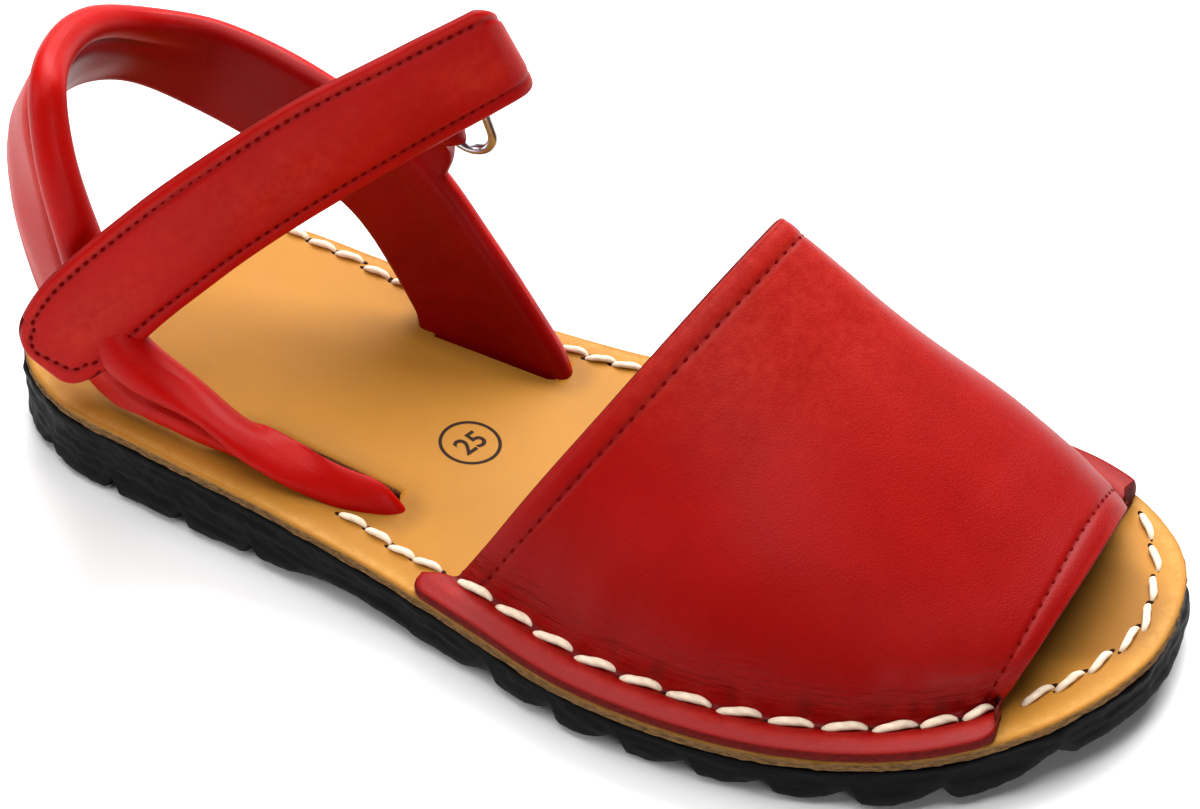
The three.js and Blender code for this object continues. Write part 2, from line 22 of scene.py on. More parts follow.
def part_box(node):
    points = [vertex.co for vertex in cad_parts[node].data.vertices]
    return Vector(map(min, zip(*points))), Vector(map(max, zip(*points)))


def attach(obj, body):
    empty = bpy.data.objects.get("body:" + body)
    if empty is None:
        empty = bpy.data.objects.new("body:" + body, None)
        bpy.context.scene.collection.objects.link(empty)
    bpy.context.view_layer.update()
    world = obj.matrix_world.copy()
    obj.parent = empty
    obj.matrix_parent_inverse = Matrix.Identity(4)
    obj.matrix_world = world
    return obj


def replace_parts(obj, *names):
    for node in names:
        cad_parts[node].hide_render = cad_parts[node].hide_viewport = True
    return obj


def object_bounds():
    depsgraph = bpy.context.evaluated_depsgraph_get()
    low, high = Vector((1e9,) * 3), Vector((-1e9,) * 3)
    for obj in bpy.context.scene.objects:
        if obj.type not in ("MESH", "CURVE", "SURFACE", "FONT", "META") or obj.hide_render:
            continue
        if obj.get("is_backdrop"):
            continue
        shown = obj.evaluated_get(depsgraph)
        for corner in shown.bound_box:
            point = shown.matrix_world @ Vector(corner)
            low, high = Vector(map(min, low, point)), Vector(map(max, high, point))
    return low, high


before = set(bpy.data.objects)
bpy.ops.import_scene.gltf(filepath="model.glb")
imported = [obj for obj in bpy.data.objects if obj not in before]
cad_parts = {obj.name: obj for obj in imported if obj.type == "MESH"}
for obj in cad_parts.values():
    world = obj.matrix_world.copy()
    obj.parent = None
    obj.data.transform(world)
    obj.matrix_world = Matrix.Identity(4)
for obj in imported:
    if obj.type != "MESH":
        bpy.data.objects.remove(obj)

MM = 0.001
BODY = "root"
Array = np.ndarray
Colour = tuple[float, float, float]
Socket, Node = bpy.types.NodeSocket, bpy.types.Node
Tree, Material, Object = bpy.types.NodeTree, bpy.types.Material, bpy.types.Object
log = logging.getLogger("sandal")


class Slot(Enum):
    """The record's material slots."""

    RUBBER = "sole_rubber"
    FOOTBED = "footbed_leather"
    UPPER = "upper_leather"
    STEEL = "ring_steel"


class Side(Enum):
    """The two sides of the foot."""

    LATERAL = "lateral"
    MEDIAL = "medial"


def ease(share: Array) -> Array:
    """Returns a smooth step from 0 to 1."""
    step = np.clip(share, 0.0, 1.0)
    return step * step * (3.0 - 2.0 * step)


def dome(share: Array) -> Array:
    """Returns the height of a quarter circle, rising from 0 to 1."""
    return np.sqrt(1 - (1 - np.clip(share, 0, 1)) ** 2)


def lerp(low: Array, high: Array, share: Array) -> Array:
    """Returns the value at a share of the way from low to high."""
    return low + (high - low) * share


def unit(vectors: Array) -> Array:
    """Returns the vectors, each made one unit long."""
    return vectors / np.maximum(np.linalg.norm(vectors, axis=-1, keepdims=True), 1e-9)


def hill(distance: Array, width: float) -> Array:
    """Returns 1 at no distance, and falls smoothly to 0 within about two widths."""
    return np.exp(-((distance / width) ** 2))


def zone(value: Array, middle_and_width: tuple[float, float]) -> Array:
    """Returns a hill over a zone of values, given as its middle and its width."""
    middle, width = middle_and_width
    return hill(value - middle, width)


def quarter_turn(count: int) -> Array:
    """Returns angles from 0 to a quarter turn."""
    return np.linspace(0, pi / 2, count)


def full_turn(count: int) -> Array:
    """Returns angles once round, without the last one that would meet the first."""
    return np.linspace(0, 2 * pi, count, endpoint=False)


def run_length(points: Array) -> Array:
    """Returns how far along the line each of its points lies."""
    steps = np.linalg.norm(np.diff(points, axis=0), axis=1)
    return np.concatenate([[0.0], np.cumsum(steps)])


def points_at(line: Array, run: Array, places: Array) -> Array:
    """Reads a line's rows at given distances along it.

    Args:
        line: The rows, one for each point of the line.
        run: How far along the line each row lies.
        places: The distances to read at.

    Returns:
        One row for each place.
    """
    return np.stack([np.interp(places, run, line[:, k]) for k in range(line.shape[1])], axis=1)


class Ripples:
    """Smooth unevenness: waves of many directions added up, the same in each run."""

    def __init__(self, seed: int, length: float, waves: int = 9) -> None:
        """Draws the waves.

        Args:
            seed: Sets which waves are drawn.
            length: The waves' mean length in millimetres.
            waves: How many waves are added up.
        """
        draw = np.random.RandomState(seed)
        ways = unit(draw.normal(size=(waves, 3)))
        self.ways = ways * (2 * pi / (length * draw.uniform(0.6, 1.6, (waves, 1))))
        self.phases = draw.uniform(0, 2 * pi, waves)

    def at(self, points: Array) -> Array:
        """Returns the unevenness at points, mostly between -1 and 1."""
        waves = np.sin(points @ self.ways.T + self.phases)
        return waves.sum(axis=-1) * math.sqrt(1.0 / len(self.phases))


class Spline:
    """A centripetal curve through points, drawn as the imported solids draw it."""

    def __init__(self, points: Sequence[Sequence[float]], closed: bool = False) -> None:
        """Works out the curve's terms.

        Args:
            points: The points that the curve runs through.
            closed: Whether it runs on from the last point to the first.
        """
        rows = np.asarray(points, float)
        if closed:
            rows = np.vstack([rows[-1:], rows, rows[:2]])
        else:
            rows = np.vstack([2 * rows[:1] - rows[1:2], rows, 2 * rows[-1:] - rows[-2:-1]])
        a, b, c, d = rows[:-3], rows[1:-2], rows[2:-1], rows[3:]
        steps = ((a, b), (b, c), (c, d))
        before, here, after = (np.sum((q - p) ** 2, axis=1, keepdims=True) ** 0.25 for p, q in steps)
        here = np.where(here < 1e-4, 1.0, here)
        before, after = (np.where(gap < 1e-4, here, gap) for gap in (before, after))
        leave = ((b - a) / before - (c - a) / (before + here) + (c - b) / here) * here
        arrive = ((c - b) / here - (d - b) / (here + after) + (d - c) / after) * here
        self.terms = (b, leave, 3 * (c - b) - 2 * leave - arrive, 2 * (b - c) + leave + arrive)

    def at(self, shares: Array) -> Array:
        """Returns the curve's points at shares from 0 to 1."""
        count = len(self.terms[0])
        place = np.clip(np.asarray(shares, float), 0, 1) * count
        span = np.minimum(place.astype(int), count - 1)
        step = (place - span)[:, None]
        return sum(term[span] * step**power for power, term in enumerate(self.terms))


def grid_faces(rows: int, columns: int, wrap: bool = False, start: int = 0) -> Array:
    """Lists the quads of a grid of points.

    Args:
        rows: How many rows the grid has.
        columns: How many points are in a row.
        wrap: Whether each row closes on itself.
        start: The number of the grid's first point.

    Returns:
        One row of four point numbers for each quad.
    """
    quads = columns if wrap else columns - 1
    row, column = np.meshgrid(np.arange(rows - 1), np.arange(quads), indexing="ij")
    beside = (column + 1) % columns
    here, above = row * columns, (row + 1) * columns
    corners = (here + column, here + beside, above + beside, above + column)
    return np.stack(corners, axis=-1).reshape(-1, 4) + start


class Solid:
    """Points, faces and marks of one piece, gathered part by part."""

    def __init__(self, shift: float) -> None:
        """Starts empty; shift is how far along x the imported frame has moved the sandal."""
        self.shift = shift
        self.points: list[Array] = []
        self.faces: list[list[int]] = []
        self.marks: dict[str, list[Array]] = {}
        self.count = 0

    def add(self, points: Array, faces: Sequence[Sequence[int]], **marks: Array) -> None:
        """Adds points, the faces between them and a value of each mark for each point.

        Args:
            points: The points in millimetres.
            faces: Each face's point numbers, counted from the first of these points.
            **marks: Values of each mark, one for each point or one for all.
        """
        rows = points.reshape(-1, 3)
        for name in sorted({*marks, *self.marks}):
            held = self.marks.setdefault(name, [np.zeros(self.count)])
            values = np.asarray(marks.get(name, 0.0), float).reshape(-1)
            held.append(np.broadcast_to(values, (len(rows),)))
        self.faces.extend([[int(k) + self.count for k in face] for face in faces])
        self.points.append(rows)
        self.count += len(rows)

    def add_tube(self, loops: Array, **marks: Array) -> None:
        """Adds a tube with closed ends.

        Args:
            loops: Its points, as a grid with one loop in each row.
            **marks: Values of each mark, as add takes them.
        """
        rows, columns = loops.shape[:2]
        last = (rows - 1) * columns
        caps = [list(range(columns)), list(range(last, last + columns))]
        self.add(loops, [*grid_faces(rows, columns, wrap=True), *caps], **marks)

    def piece(self, name: str, material: Material, slot: Slot, sharp: float = 48.0) -> Object:
        """Makes the mesh object, in metres, riding on the body.

        Args:
            name: The piece's name.
            material: Its finish.
            slot: The record's slot that the finish belongs to; not used.
            sharp: Edges with more degrees than this between their faces are sharp.

        Returns:
            The new object.
        """
        mesh = bpy.data.meshes.new(name)
        points = np.vstack(self.points) + np.array([self.shift, 0.0, 0.0])
        mesh.from_pydata((points * MM).tolist(), [], self.faces)
        work = bmesh.new()
        work.from_mesh(mesh)
        bmesh.ops.recalc_face_normals(work, faces=work.faces)
        work.to_mesh(mesh)
        work.free()
        for mark, values in self.marks.items():
            layer = mesh.attributes.new(mark, "FLOAT", "POINT")
            layer.data.foreach_set("value", np.concatenate(values).astype(np.float32))
        mesh.materials.append(material)
        mesh.shade_smooth()
        mesh.set_sharp_from_angle(angle=radians(sharp))
        made = bpy.data.objects.new(name, mesh)
        bpy.context.scene.collection.objects.link(made)
        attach(made, BODY)
        log.info("%s: %d points, %d faces", name, len(mesh.vertices), len(mesh.polygons))
        return made


def sheet_with_rim(outer: Array, inner: Array, bulge: float, steps: int = 3) -> tuple[Array, ...]:
    """Joins two grids, an outer and an inner face, by a rounded rim.

    Args:
        outer: Points of the outer face, as rows of a grid.
        inner: Points of the inner face, in the same order.
        bulge: How round the rim is, as a share of half the sheet's thickness.
        steps: How many points the rim has between the two faces.

    Returns:
        The points, the faces, and for each point whether it is on the rim and whether it
        is on the inner face.
    """
    rows, columns = outer.shape[:2]
    total = rows * columns

    def around(grid: Array) -> Array:
        """Returns the numbers round a grid's border."""
        return np.concatenate([grid[0, :-1], grid[:-1, -1], grid[-1, :0:-1], grid[:0:-1, 0]])

    index = np.arange(total).reshape(rows, columns)
    border, inward = around(index), around(np.pad(index[1:-1, 1:-1], 1, mode="edge"))
    high, low = outer.reshape(-1, 3), inner.reshape(-1, 3)
    middle = (high[border] + low[border]) / 2
    half = (high[border] - low[border]) / 2
    outward = unit(high[border] - high[inward])
    reach = np.linalg.norm(half, axis=1, keepdims=True) * bulge
    turns = pi * np.arange(1, steps + 1) / (steps + 1)
    rim = [middle + half * cos(turn) + outward * reach * sin(turn) for turn in turns]
    points = np.vstack([high, low, *rim])
    faces = [grid_faces(rows, columns), grid_faces(rows, columns, start=total)[:, ::-1]]
    count = len(border)
    between = [2 * total + step * count + np.arange(count) for step in range(steps)]
    loops = [border, *between, border + total]
    for here, there in zip(loops, loops[1:]):
        faces.append(np.stack([here, there, np.roll(there, -1), np.roll(here, -1)], axis=1))
    on_rim = np.concatenate([np.zeros(2 * total), np.ones(steps * count)])
    on_back = np.concatenate([np.zeros(total), np.ones(total), np.zeros(steps * count)])
    return points, np.vstack(faces), on_rim, on_back


class Graph:
    """Short calls for building one node tree."""

    def __init__(self, tree: Tree) -> None:
        """Keeps the tree."""
        self.tree = tree

    def feed(self, socket: Socket, value: object) -> None:
        """Links a socket to an input, or sets the input to a plain value."""
        if isinstance(value, Socket):
            self.tree.links.new(value, socket)
        elif isinstance(value, tuple) and len(value) == 3 and socket.type == "RGBA":
            socket.default_value = (*value, 1.0)
        else:
            socket.default_value = value

    def wire(self, node: Node, wires: dict) -> None:
        """Feeds several of a node's inputs, given by name or number."""
        for name, value in wires.items():
            self.feed(node.inputs[name], value)

    def node(self, kind: str, wires: dict, **settings: object) -> Node:
        """Adds a node.

        Args:
            kind: The node's type, without the word ShaderNode.
            wires: What each input, by name or number, is linked to or set to.
            **settings: The node's own settings.

        Returns:
            The new node.
        """
        made = self.tree.nodes.new("ShaderNode" + kind)
        for name, value in settings.items():
            setattr(made, name, value)
        self.wire(made, wires)
        return made

    def vector(self, operation: str, wires: dict) -> Socket:
        """Returns what a vector operation makes of its inputs."""
        return self.node("VectorMath", wires, operation=operation).outputs[0]

    def place(self, size: object, stretch: tuple = (1, 1, 1)) -> Socket:
        """Returns the place on the piece, counted in features of a size in millimetres."""
        spot = self.node("TexCoord", {}).outputs["Object"]
        millimetres = self.vector("MULTIPLY", {0: spot, 1: tuple(way / MM for way in stretch)})
        return self.vector("DIVIDE", {0: millimetres, 1: self.same(size)})

    def same(self, value: object) -> object:
        """Returns a vector whose three numbers are one value."""
        if not isinstance(value, Socket):
            return (value, value, value)
        return self.node("CombineXYZ", {"X": value, "Y": value, "Z": value}).outputs[0]

    def noise(self, place: object, detail: float = 3.0, rough: float = 0.55) -> Socket:
        """Returns a noise from 0 to 1 at a place."""
        wires = {"Vector": place, "Scale": 1.0, "Detail": detail, "Roughness": rough}
        return self.node("TexNoise", wires).outputs["Fac"]

    def math(self, operation: str, *values: object, clamp: bool = False) -> Socket:
        """Returns what an operation makes of its values."""
        wires = dict(enumerate(values))
        return self.node("Math", wires, operation=operation, use_clamp=clamp).outputs[0]

    def about(self, value: float, swing: float, share: object) -> Socket:
        """Returns a value that swings up and down as a share runs from 0 to 1."""
        return self.math("MULTIPLY_ADD", share, swing, value - swing / 2)

    def span(self, value: object, *limits: float) -> Socket:
        """Returns a value carried smoothly from the first two limits to the last two."""
        wires = {0: value, **dict(enumerate(limits, 1))}
        return self.node("MapRange", wires, interpolation_type="SMOOTHSTEP").outputs[0]

    def mix(self, share: object, low: object, high: object, blend: str = "MIX") -> Socket:
        """Returns one colour mixed into another by a share."""
        wires = {0: share, 6: low, 7: high}
        return self.node("Mix", wires, data_type="RGBA", blend_type=blend).outputs[2]

    def bump(self, height: object, depth: float, strength: float, **more: object) -> Socket:
        """Returns the normal of a relief that is a given depth in millimetres."""
        wires = {"Height": height, "Distance": depth * MM, "Strength": strength, **more}
        return self.node("Bump", wires).outputs["Normal"]

    def mark(self, name: str) -> Socket:
        """Returns a mark that the mesh carries, such as how shaded a point is."""
        return self.node("Attribute", {}, attribute_name=name, attribute_type="GEOMETRY").outputs["Fac"]

    def group(self, tree: Tree, wires: dict) -> dict[str, Socket]:
        """Places a shared node group, feeds its inputs and returns its outputs."""
        made = self.tree.nodes.new("ShaderNodeGroup")
        made.node_tree = tree
        self.wire(made, wires)
        return made.outputs


def shared_group(name: str, takes: dict, gives: dict[str, str]) -> tuple[Graph, dict, Node]:
    """Starts a shader node group.

    Args:
        name: The group's name.
        takes: Each input's name and its usual value, a number or a colour.
        gives: Each output's name and its socket type, without the word NodeSocket.

    Returns:
        The group's graph, its input sockets by name, and its output node.
    """
    tree = bpy.data.node_groups.new(name, "ShaderNodeTree")
    for label, usual in takes.items():
        kind = "NodeSocketColor" if isinstance(usual, tuple) else "NodeSocketFloat"
        socket = tree.interface.new_socket(label, in_out="INPUT", socket_type=kind)
        socket.default_value = (*usual, 1.0) if isinstance(usual, tuple) else usual
    for label, kind in gives.items():
        tree.interface.new_socket(label, in_out="OUTPUT", socket_type="NodeSocket" + kind)
    start, end = tree.nodes.new("NodeGroupInput"), tree.nodes.new("NodeGroupOutput")
    return Graph(tree), {label: start.outputs[label] for label in takes}, end


class Effects:
    """The shader node groups that several finishes share, each built once."""

    def __init__(self) -> None:
        """Builds every group."""
        self.grain = self.build_grain()
        self.mottle = self.build_mottle()
        self.fibres = self.build_fibres()
        self.shading = self.build_shading()

    def build_grain(self) -> Tree:
        """Returns leather's grain: small pebbles between creases, with fine pores."""
        warp_size, pore_size, crease_width = 2.2, 0.35, 0.3
        usual = {"Pebble": 0.7, "Pores": 0.3}
        graph, takes, end = shared_group("leather_grain", usual, {"Height": "Float"})
        warp = graph.vector("SCALE", {0: graph.place(warp_size), 3: 1.0})
        bent = graph.node("TexNoise", {"Vector": warp, "Scale": 1.0, "Detail": 2.0}).outputs["Color"]
        spot = graph.vector("ADD", {0: graph.place(takes["Pebble"]), 1: bent})
        cells = graph.node("TexVoronoi", {"Vector": spot, "Scale": 1.0}, feature="DISTANCE_TO_EDGE")
        pebbles = graph.span(cells.outputs["Distance"], 0.0, crease_width, 0.0, 1.0)
        fine = graph.noise(graph.place(pore_size), 2.0)
        graph.feed(end.inputs["Height"], graph.math("MULTIPLY_ADD", fine, takes["Pores"], pebbles))
        return graph.tree

    def build_mottle(self) -> Tree:
        """Returns uneven tone: soft clouds that darken and lighten a colour."""
        fine_size, broad_share, contrast = 0.9, 0.72, 3.0
        usual = {"Color": (0.5, 0.5, 0.5), "Amount": 0.2, "Size": 9.0}
        graph, takes, end = shared_group("uneven_tone", usual, {"Color": "Color", "Cloud": "Float"})
        broad = graph.math("MULTIPLY", graph.noise(graph.place(takes["Size"]), 4.0, 0.6), broad_share)
        small = graph.math("MULTIPLY", graph.noise(graph.place(fine_size), 3.0, 0.7), 1 - broad_share)
        cloud = graph.math("ADD", broad, small)
        swing = graph.math("MULTIPLY", graph.math("SUBTRACT", cloud, 0.5), takes["Amount"])
        tone = graph.math("MULTIPLY_ADD", swing, contrast, 1.0)
        graph.wire(end, {"Color": graph.mix(1.0, takes["Color"], tone, "MULTIPLY"), "Cloud": cloud})
        return graph.tree

    def build_fibres(self) -> Tree:
        """Returns the fuzz of a cut edge or of leather's flesh side."""
        flattened, fuzz_size, fuzz_share = (1.0, 1.0, 5.0), 0.22, 0.5
        outputs = {"Height": "Float", "Tone": "Float"}
        graph, takes, end = shared_group("cut_fibres", {"Length": 1.1}, outputs)
        layers = graph.noise(graph.place(takes["Length"], flattened), 4.0, 0.7)
        fuzz = graph.noise(graph.place(fuzz_size), 3.0, 0.7)
        height = graph.math("MULTIPLY_ADD", fuzz, fuzz_share, layers)
        graph.wire(end, {"Height": height, "Tone": graph.span(layers, 0.34, 0.66, 0.45, 1.35)})
        return graph.tree

    def build_shading(self) -> Tree:
        """Returns a colour that takes the mesh's own marks: painted shade towards a dark tone, and painted
        highlights and wear towards a lighter tone.
        """
        patch_size = 1.6
        usual = {"Color": (0.5, 0.5, 0.5), "Dark": (0.1, 0.1, 0.1), "Lit_and_Worn": (0.7, 0.7, 0.7)}
        graph, takes, end = shared_group("painted_shade_and_highlights", usual, {"Color": "Color"})
        # Painted shade: the shade mark mixes the colour towards the dark tone.
        shaded = graph.math("MULTIPLY", graph.mark("shade"), 1.0, clamp=True)
        painted_shade = graph.mix(shaded, takes["Color"], takes["Dark"])
        # Painted highlights and wear: the second mark mixes the colour towards the lighter tone, in broken
        # patches.
        broken = graph.span(graph.noise(graph.place(patch_size), 4.0, 0.7), 0.3, 0.7, 0.35, 1.15)
        lit_and_worn = graph.math("MULTIPLY", graph.mark("wear"), broken, clamp=True)
        graph.feed(end.inputs["Color"], graph.mix(lit_and_worn, painted_shade, takes["Lit_and_Worn"]))
        return graph.tree


EFFECTS = Effects()


@dataclass(frozen=True)
class Finish:
    """What every finish has: a name and a colour."""

    name: str
    colour: Colour

    def start(self) -> tuple[Material, Graph, Node]:
        """Returns a new material with its graph and its surface shader."""
        material = bpy.data.materials.new(self.name)
        material.use_nodes = True
        graph = Graph(material.node_tree)
        return material, graph, graph.tree.nodes["Principled BSDF"]

    def toned(self, graph: Graph, dark: Colour, lit_and_worn: Colour, amount: float, size: float) -> dict:
        """Adds painted shade, painted highlights with wear, and uneven tone to the colour; gives the
        sockets Color and Cloud.
        """
        marked = graph.group(EFFECTS.shading, {"Color": self.colour, "Dark": dark, "Lit_and_Worn": lit_and_worn})
        return graph.group(EFFECTS.mottle, {"Color": marked["Color"], "Amount": amount, "Size": size})


@dataclass(frozen=True)
class Leather(Finish):
    """Leather with grain, uneven tone, creases, painted shade, painted highlights with wear, a cut edge and
    a flesh side.
    """

    # The dark tone is for painted shade; the next colour is for painted highlights and wear.
    dark: Colour
    lit_and_worn: Colour
    edge: Colour
    back: Colour
    rough: float = 0.46
    raw_rough: float = 0.35
    gloss: float = 0.05
    gloss_rough: float = 0.33
    specular: float = 0.09
    pebble: float = 0.55
    pores: float = 0.35
    depth: float = 0.014
    raw_depth: float = 2.5
    fibre: float = 1.1
    crease_depth: float = 0.26
    crease_length: float = 1.15
    crease_stretch: tuple = (0.13, 0.13, 1.0)
    mottle: float = 0.16
    cloud: float = 9.0

    def build(self) -> Material:
        """Returns the material."""
        material, graph, surface = self.start()
        toned = self.toned(graph, self.dark, self.lit_and_worn, self.mottle, self.cloud)
        fibres = graph.group(EFFECTS.fibres, {"Length": self.fibre})
        flesh, cut = graph.mark("back"), graph.mark("edge")
        faced = graph.mix(flesh, toned["Color"], graph.mix(1.0, self.back, fibres["Tone"], "MULTIPLY"))
        coloured = graph.mix(cut, faced, graph.mix(1.0, self.edge, fibres["Tone"], "MULTIPLY"))
        raw = graph.math("MAXIMUM", flesh, cut)
        faced_share = graph.math("SUBTRACT", 1.0, raw)
        grain = graph.group(EFFECTS.grain, {"Pebble": self.pebble, "Pores": self.pores})
        smooth = graph.about(self.rough, 0.22, toned["Cloud"])
        fuzzy = graph.math("MULTIPLY", fibres["Height"], graph.math("MULTIPLY", raw, self.raw_depth))
        relief = graph.math("ADD", fuzzy, graph.math("MULTIPLY", grain["Height"], faced_share))
        lines = graph.noise(graph.place(self.crease_length, self.crease_stretch), 3.0, 0.6)
        creases = graph.math("MULTIPLY", graph.span(lines, 0.3, 0.62, 0.0, 1.0), graph.mark("creases"))
        grained = graph.bump(relief, self.depth, 1.0)
        graph.wire(surface, {
            "Base Color": coloured,
            "Roughness": graph.math("MULTIPLY_ADD", raw, self.raw_rough, smooth),
            "Coat Weight": graph.math("MULTIPLY", faced_share, self.gloss),
            "Coat Roughness": self.gloss_rough,
            "Specular IOR Level": self.specular,
            "Normal": graph.bump(creases, self.crease_depth, 1.0, Normal=grained),
        })
        return material


@dataclass(frozen=True)
class Rubber(Finish):
    """Black moulded rubber with a dull, slightly dusty face."""

    colour: Colour = (0.0028, 0.0026, 0.0025)
    # The groove tone is painted shade, in the side's grooves and along the top under the footbed.
    groove: Colour = (0.004, 0.004, 0.005)
    dust: Colour = (0.012, 0.0115, 0.011)
    rough: float = 0.6
    specular: float = 0.09
    depth: float = 0.12
    speck: float = 0.5
    lump: float = 2.4
    lump_stretch: tuple = (1.0, 1.0, 2.2)

    def build(self) -> Material:
        """Returns the material."""
        material, graph, surface = self.start()
        toned = self.toned(graph, self.groove, self.dust, 0.5, 5.0)
        specks = graph.noise(graph.place(self.speck), 4.0, 0.75)
        dusty = graph.span(specks, 0.6, 0.85, 0.0, 0.5)
        lumps = graph.noise(graph.place(self.lump, self.lump_stretch), 3.0)
        graph.wire(surface, {
            "Base Color": graph.mix(dusty, toned["Color"], self.dust),
            "Roughness": graph.about(self.rough, 0.3, specks),
            "Specular IOR Level": self.specular,
            "Normal": graph.bump(graph.math("MULTIPLY_ADD", specks, 0.5, lumps), self.depth, 0.7),
        })
        return material


@dataclass(frozen=True)
class Thread(Finish):
    """Waxed thread: pale or dark strands with shaded gaps between them."""

    dark: Colour
    rough: float = 0.6
    specular: float = 0.12
    depth: float = 0.09
    fibre: float = 0.3

    def build(self) -> Material:
        """Returns the material."""
        material, graph, surface = self.start()
        toned = self.toned(graph, self.dark, self.colour, 0.3, 1.5)
        fibres = graph.group(EFFECTS.fibres, {"Length": self.fibre})
        graph.wire(surface, {
            "Base Color": toned["Color"],
            "Specular IOR Level": self.specular,
            "Roughness": graph.about(self.rough, 0.2, toned["Cloud"]),
            "Normal": graph.bump(fibres["Height"], self.depth, 0.8),
        })
        return material


@dataclass(frozen=True)
class Metal(Finish):
    """Plated steel wire with fine handling marks."""

    colour: Colour = (0.5, 0.53, 0.58)
    rough: float = 0.22
    depth: float = 0.02
    scratch: float = 0.4

    def build(self) -> Material:
        """Returns the material."""
        material, graph, surface = self.start()
        toned = graph.group(EFFECTS.mottle, {"Color": self.colour, "Amount": 0.15, "Size": 2.0})
        rubbed = graph.noise(graph.place(self.scratch), 4.0, 0.7)
        graph.wire(surface, {
            "Base Color": toned["Color"],
            "Metallic": 1.0,
            "Roughness": graph.about(self.rough, 0.2, toned["Cloud"]),
            "Normal": graph.bump(rubbed, self.depth, 0.5),
        })
        return material


# In the two red leathers the dark tone is painted shade and the lighter tone is painted highlight.
RED = Leather(
    "red_leather", (0.29, 0.0012, 0.0003), dark=(0.085, 0.0005, 0.0002), lit_and_worn=(0.5, 0.035, 0.02),
    edge=(0.085, 0.006, 0.004), back=(0.08, 0.006, 0.004),
)
STRAP_RED = Leather(
    "red_strap_leather", (0.4, 0.0012, 0.0003), dark=(0.1, 0.0005, 0.0002), lit_and_worn=(0.56, 0.03, 0.014),
    edge=(0.08, 0.006, 0.004), back=(0.08, 0.006, 0.004), pebble=0.5, depth=0.012,
)
TAN = Leather(
    "tan_leather", (0.425, 0.182, 0.024), dark=(0.12, 0.044, 0.004), lit_and_worn=(0.58, 0.31, 0.08),
    edge=(0.17, 0.09, 0.035), back=(0.15, 0.075, 0.03), rough=0.55, gloss=0.03, pebble=0.45,
    depth=0.008, mottle=0.1, cloud=14.0,
)
CUT_SLOT = Leather(
    "cut_slot_edge", (0.2, 0.085, 0.03), dark=(0.02, 0.008, 0.003), lit_and_worn=(0.3, 0.15, 0.05),
    edge=(0.05, 0.02, 0.007), back=(0.05, 0.02, 0.007), rough=0.85, gloss=0.0, depth=0.1,
)
SOLE_RUBBER = Rubber("sole_rubber")
CREAM_THREAD = Thread("cream_thread", (0.93, 0.76, 0.58), dark=(0.26, 0.13, 0.055))
RED_THREAD = Thread(
    "dark_red_thread", (0.14, 0.0012, 0.0008), dark=(0.05, 0.0006, 0.0004), rough=0.9, specular=0.03
)
# Painted shade in the stitch holes, as dark domes at the ends of each stitch.
HOLE_SHADE = Thread("stitch_hole_shade", (0.02, 0.005, 0.002), dark=(0.008, 0.002, 0.001), rough=0.95)
PRINT = Thread("printed_ink", (0.03, 0.014, 0.008), dark=(0.012, 0.006, 0.004), rough=0.75)
STEEL = Metal("plated_steel")


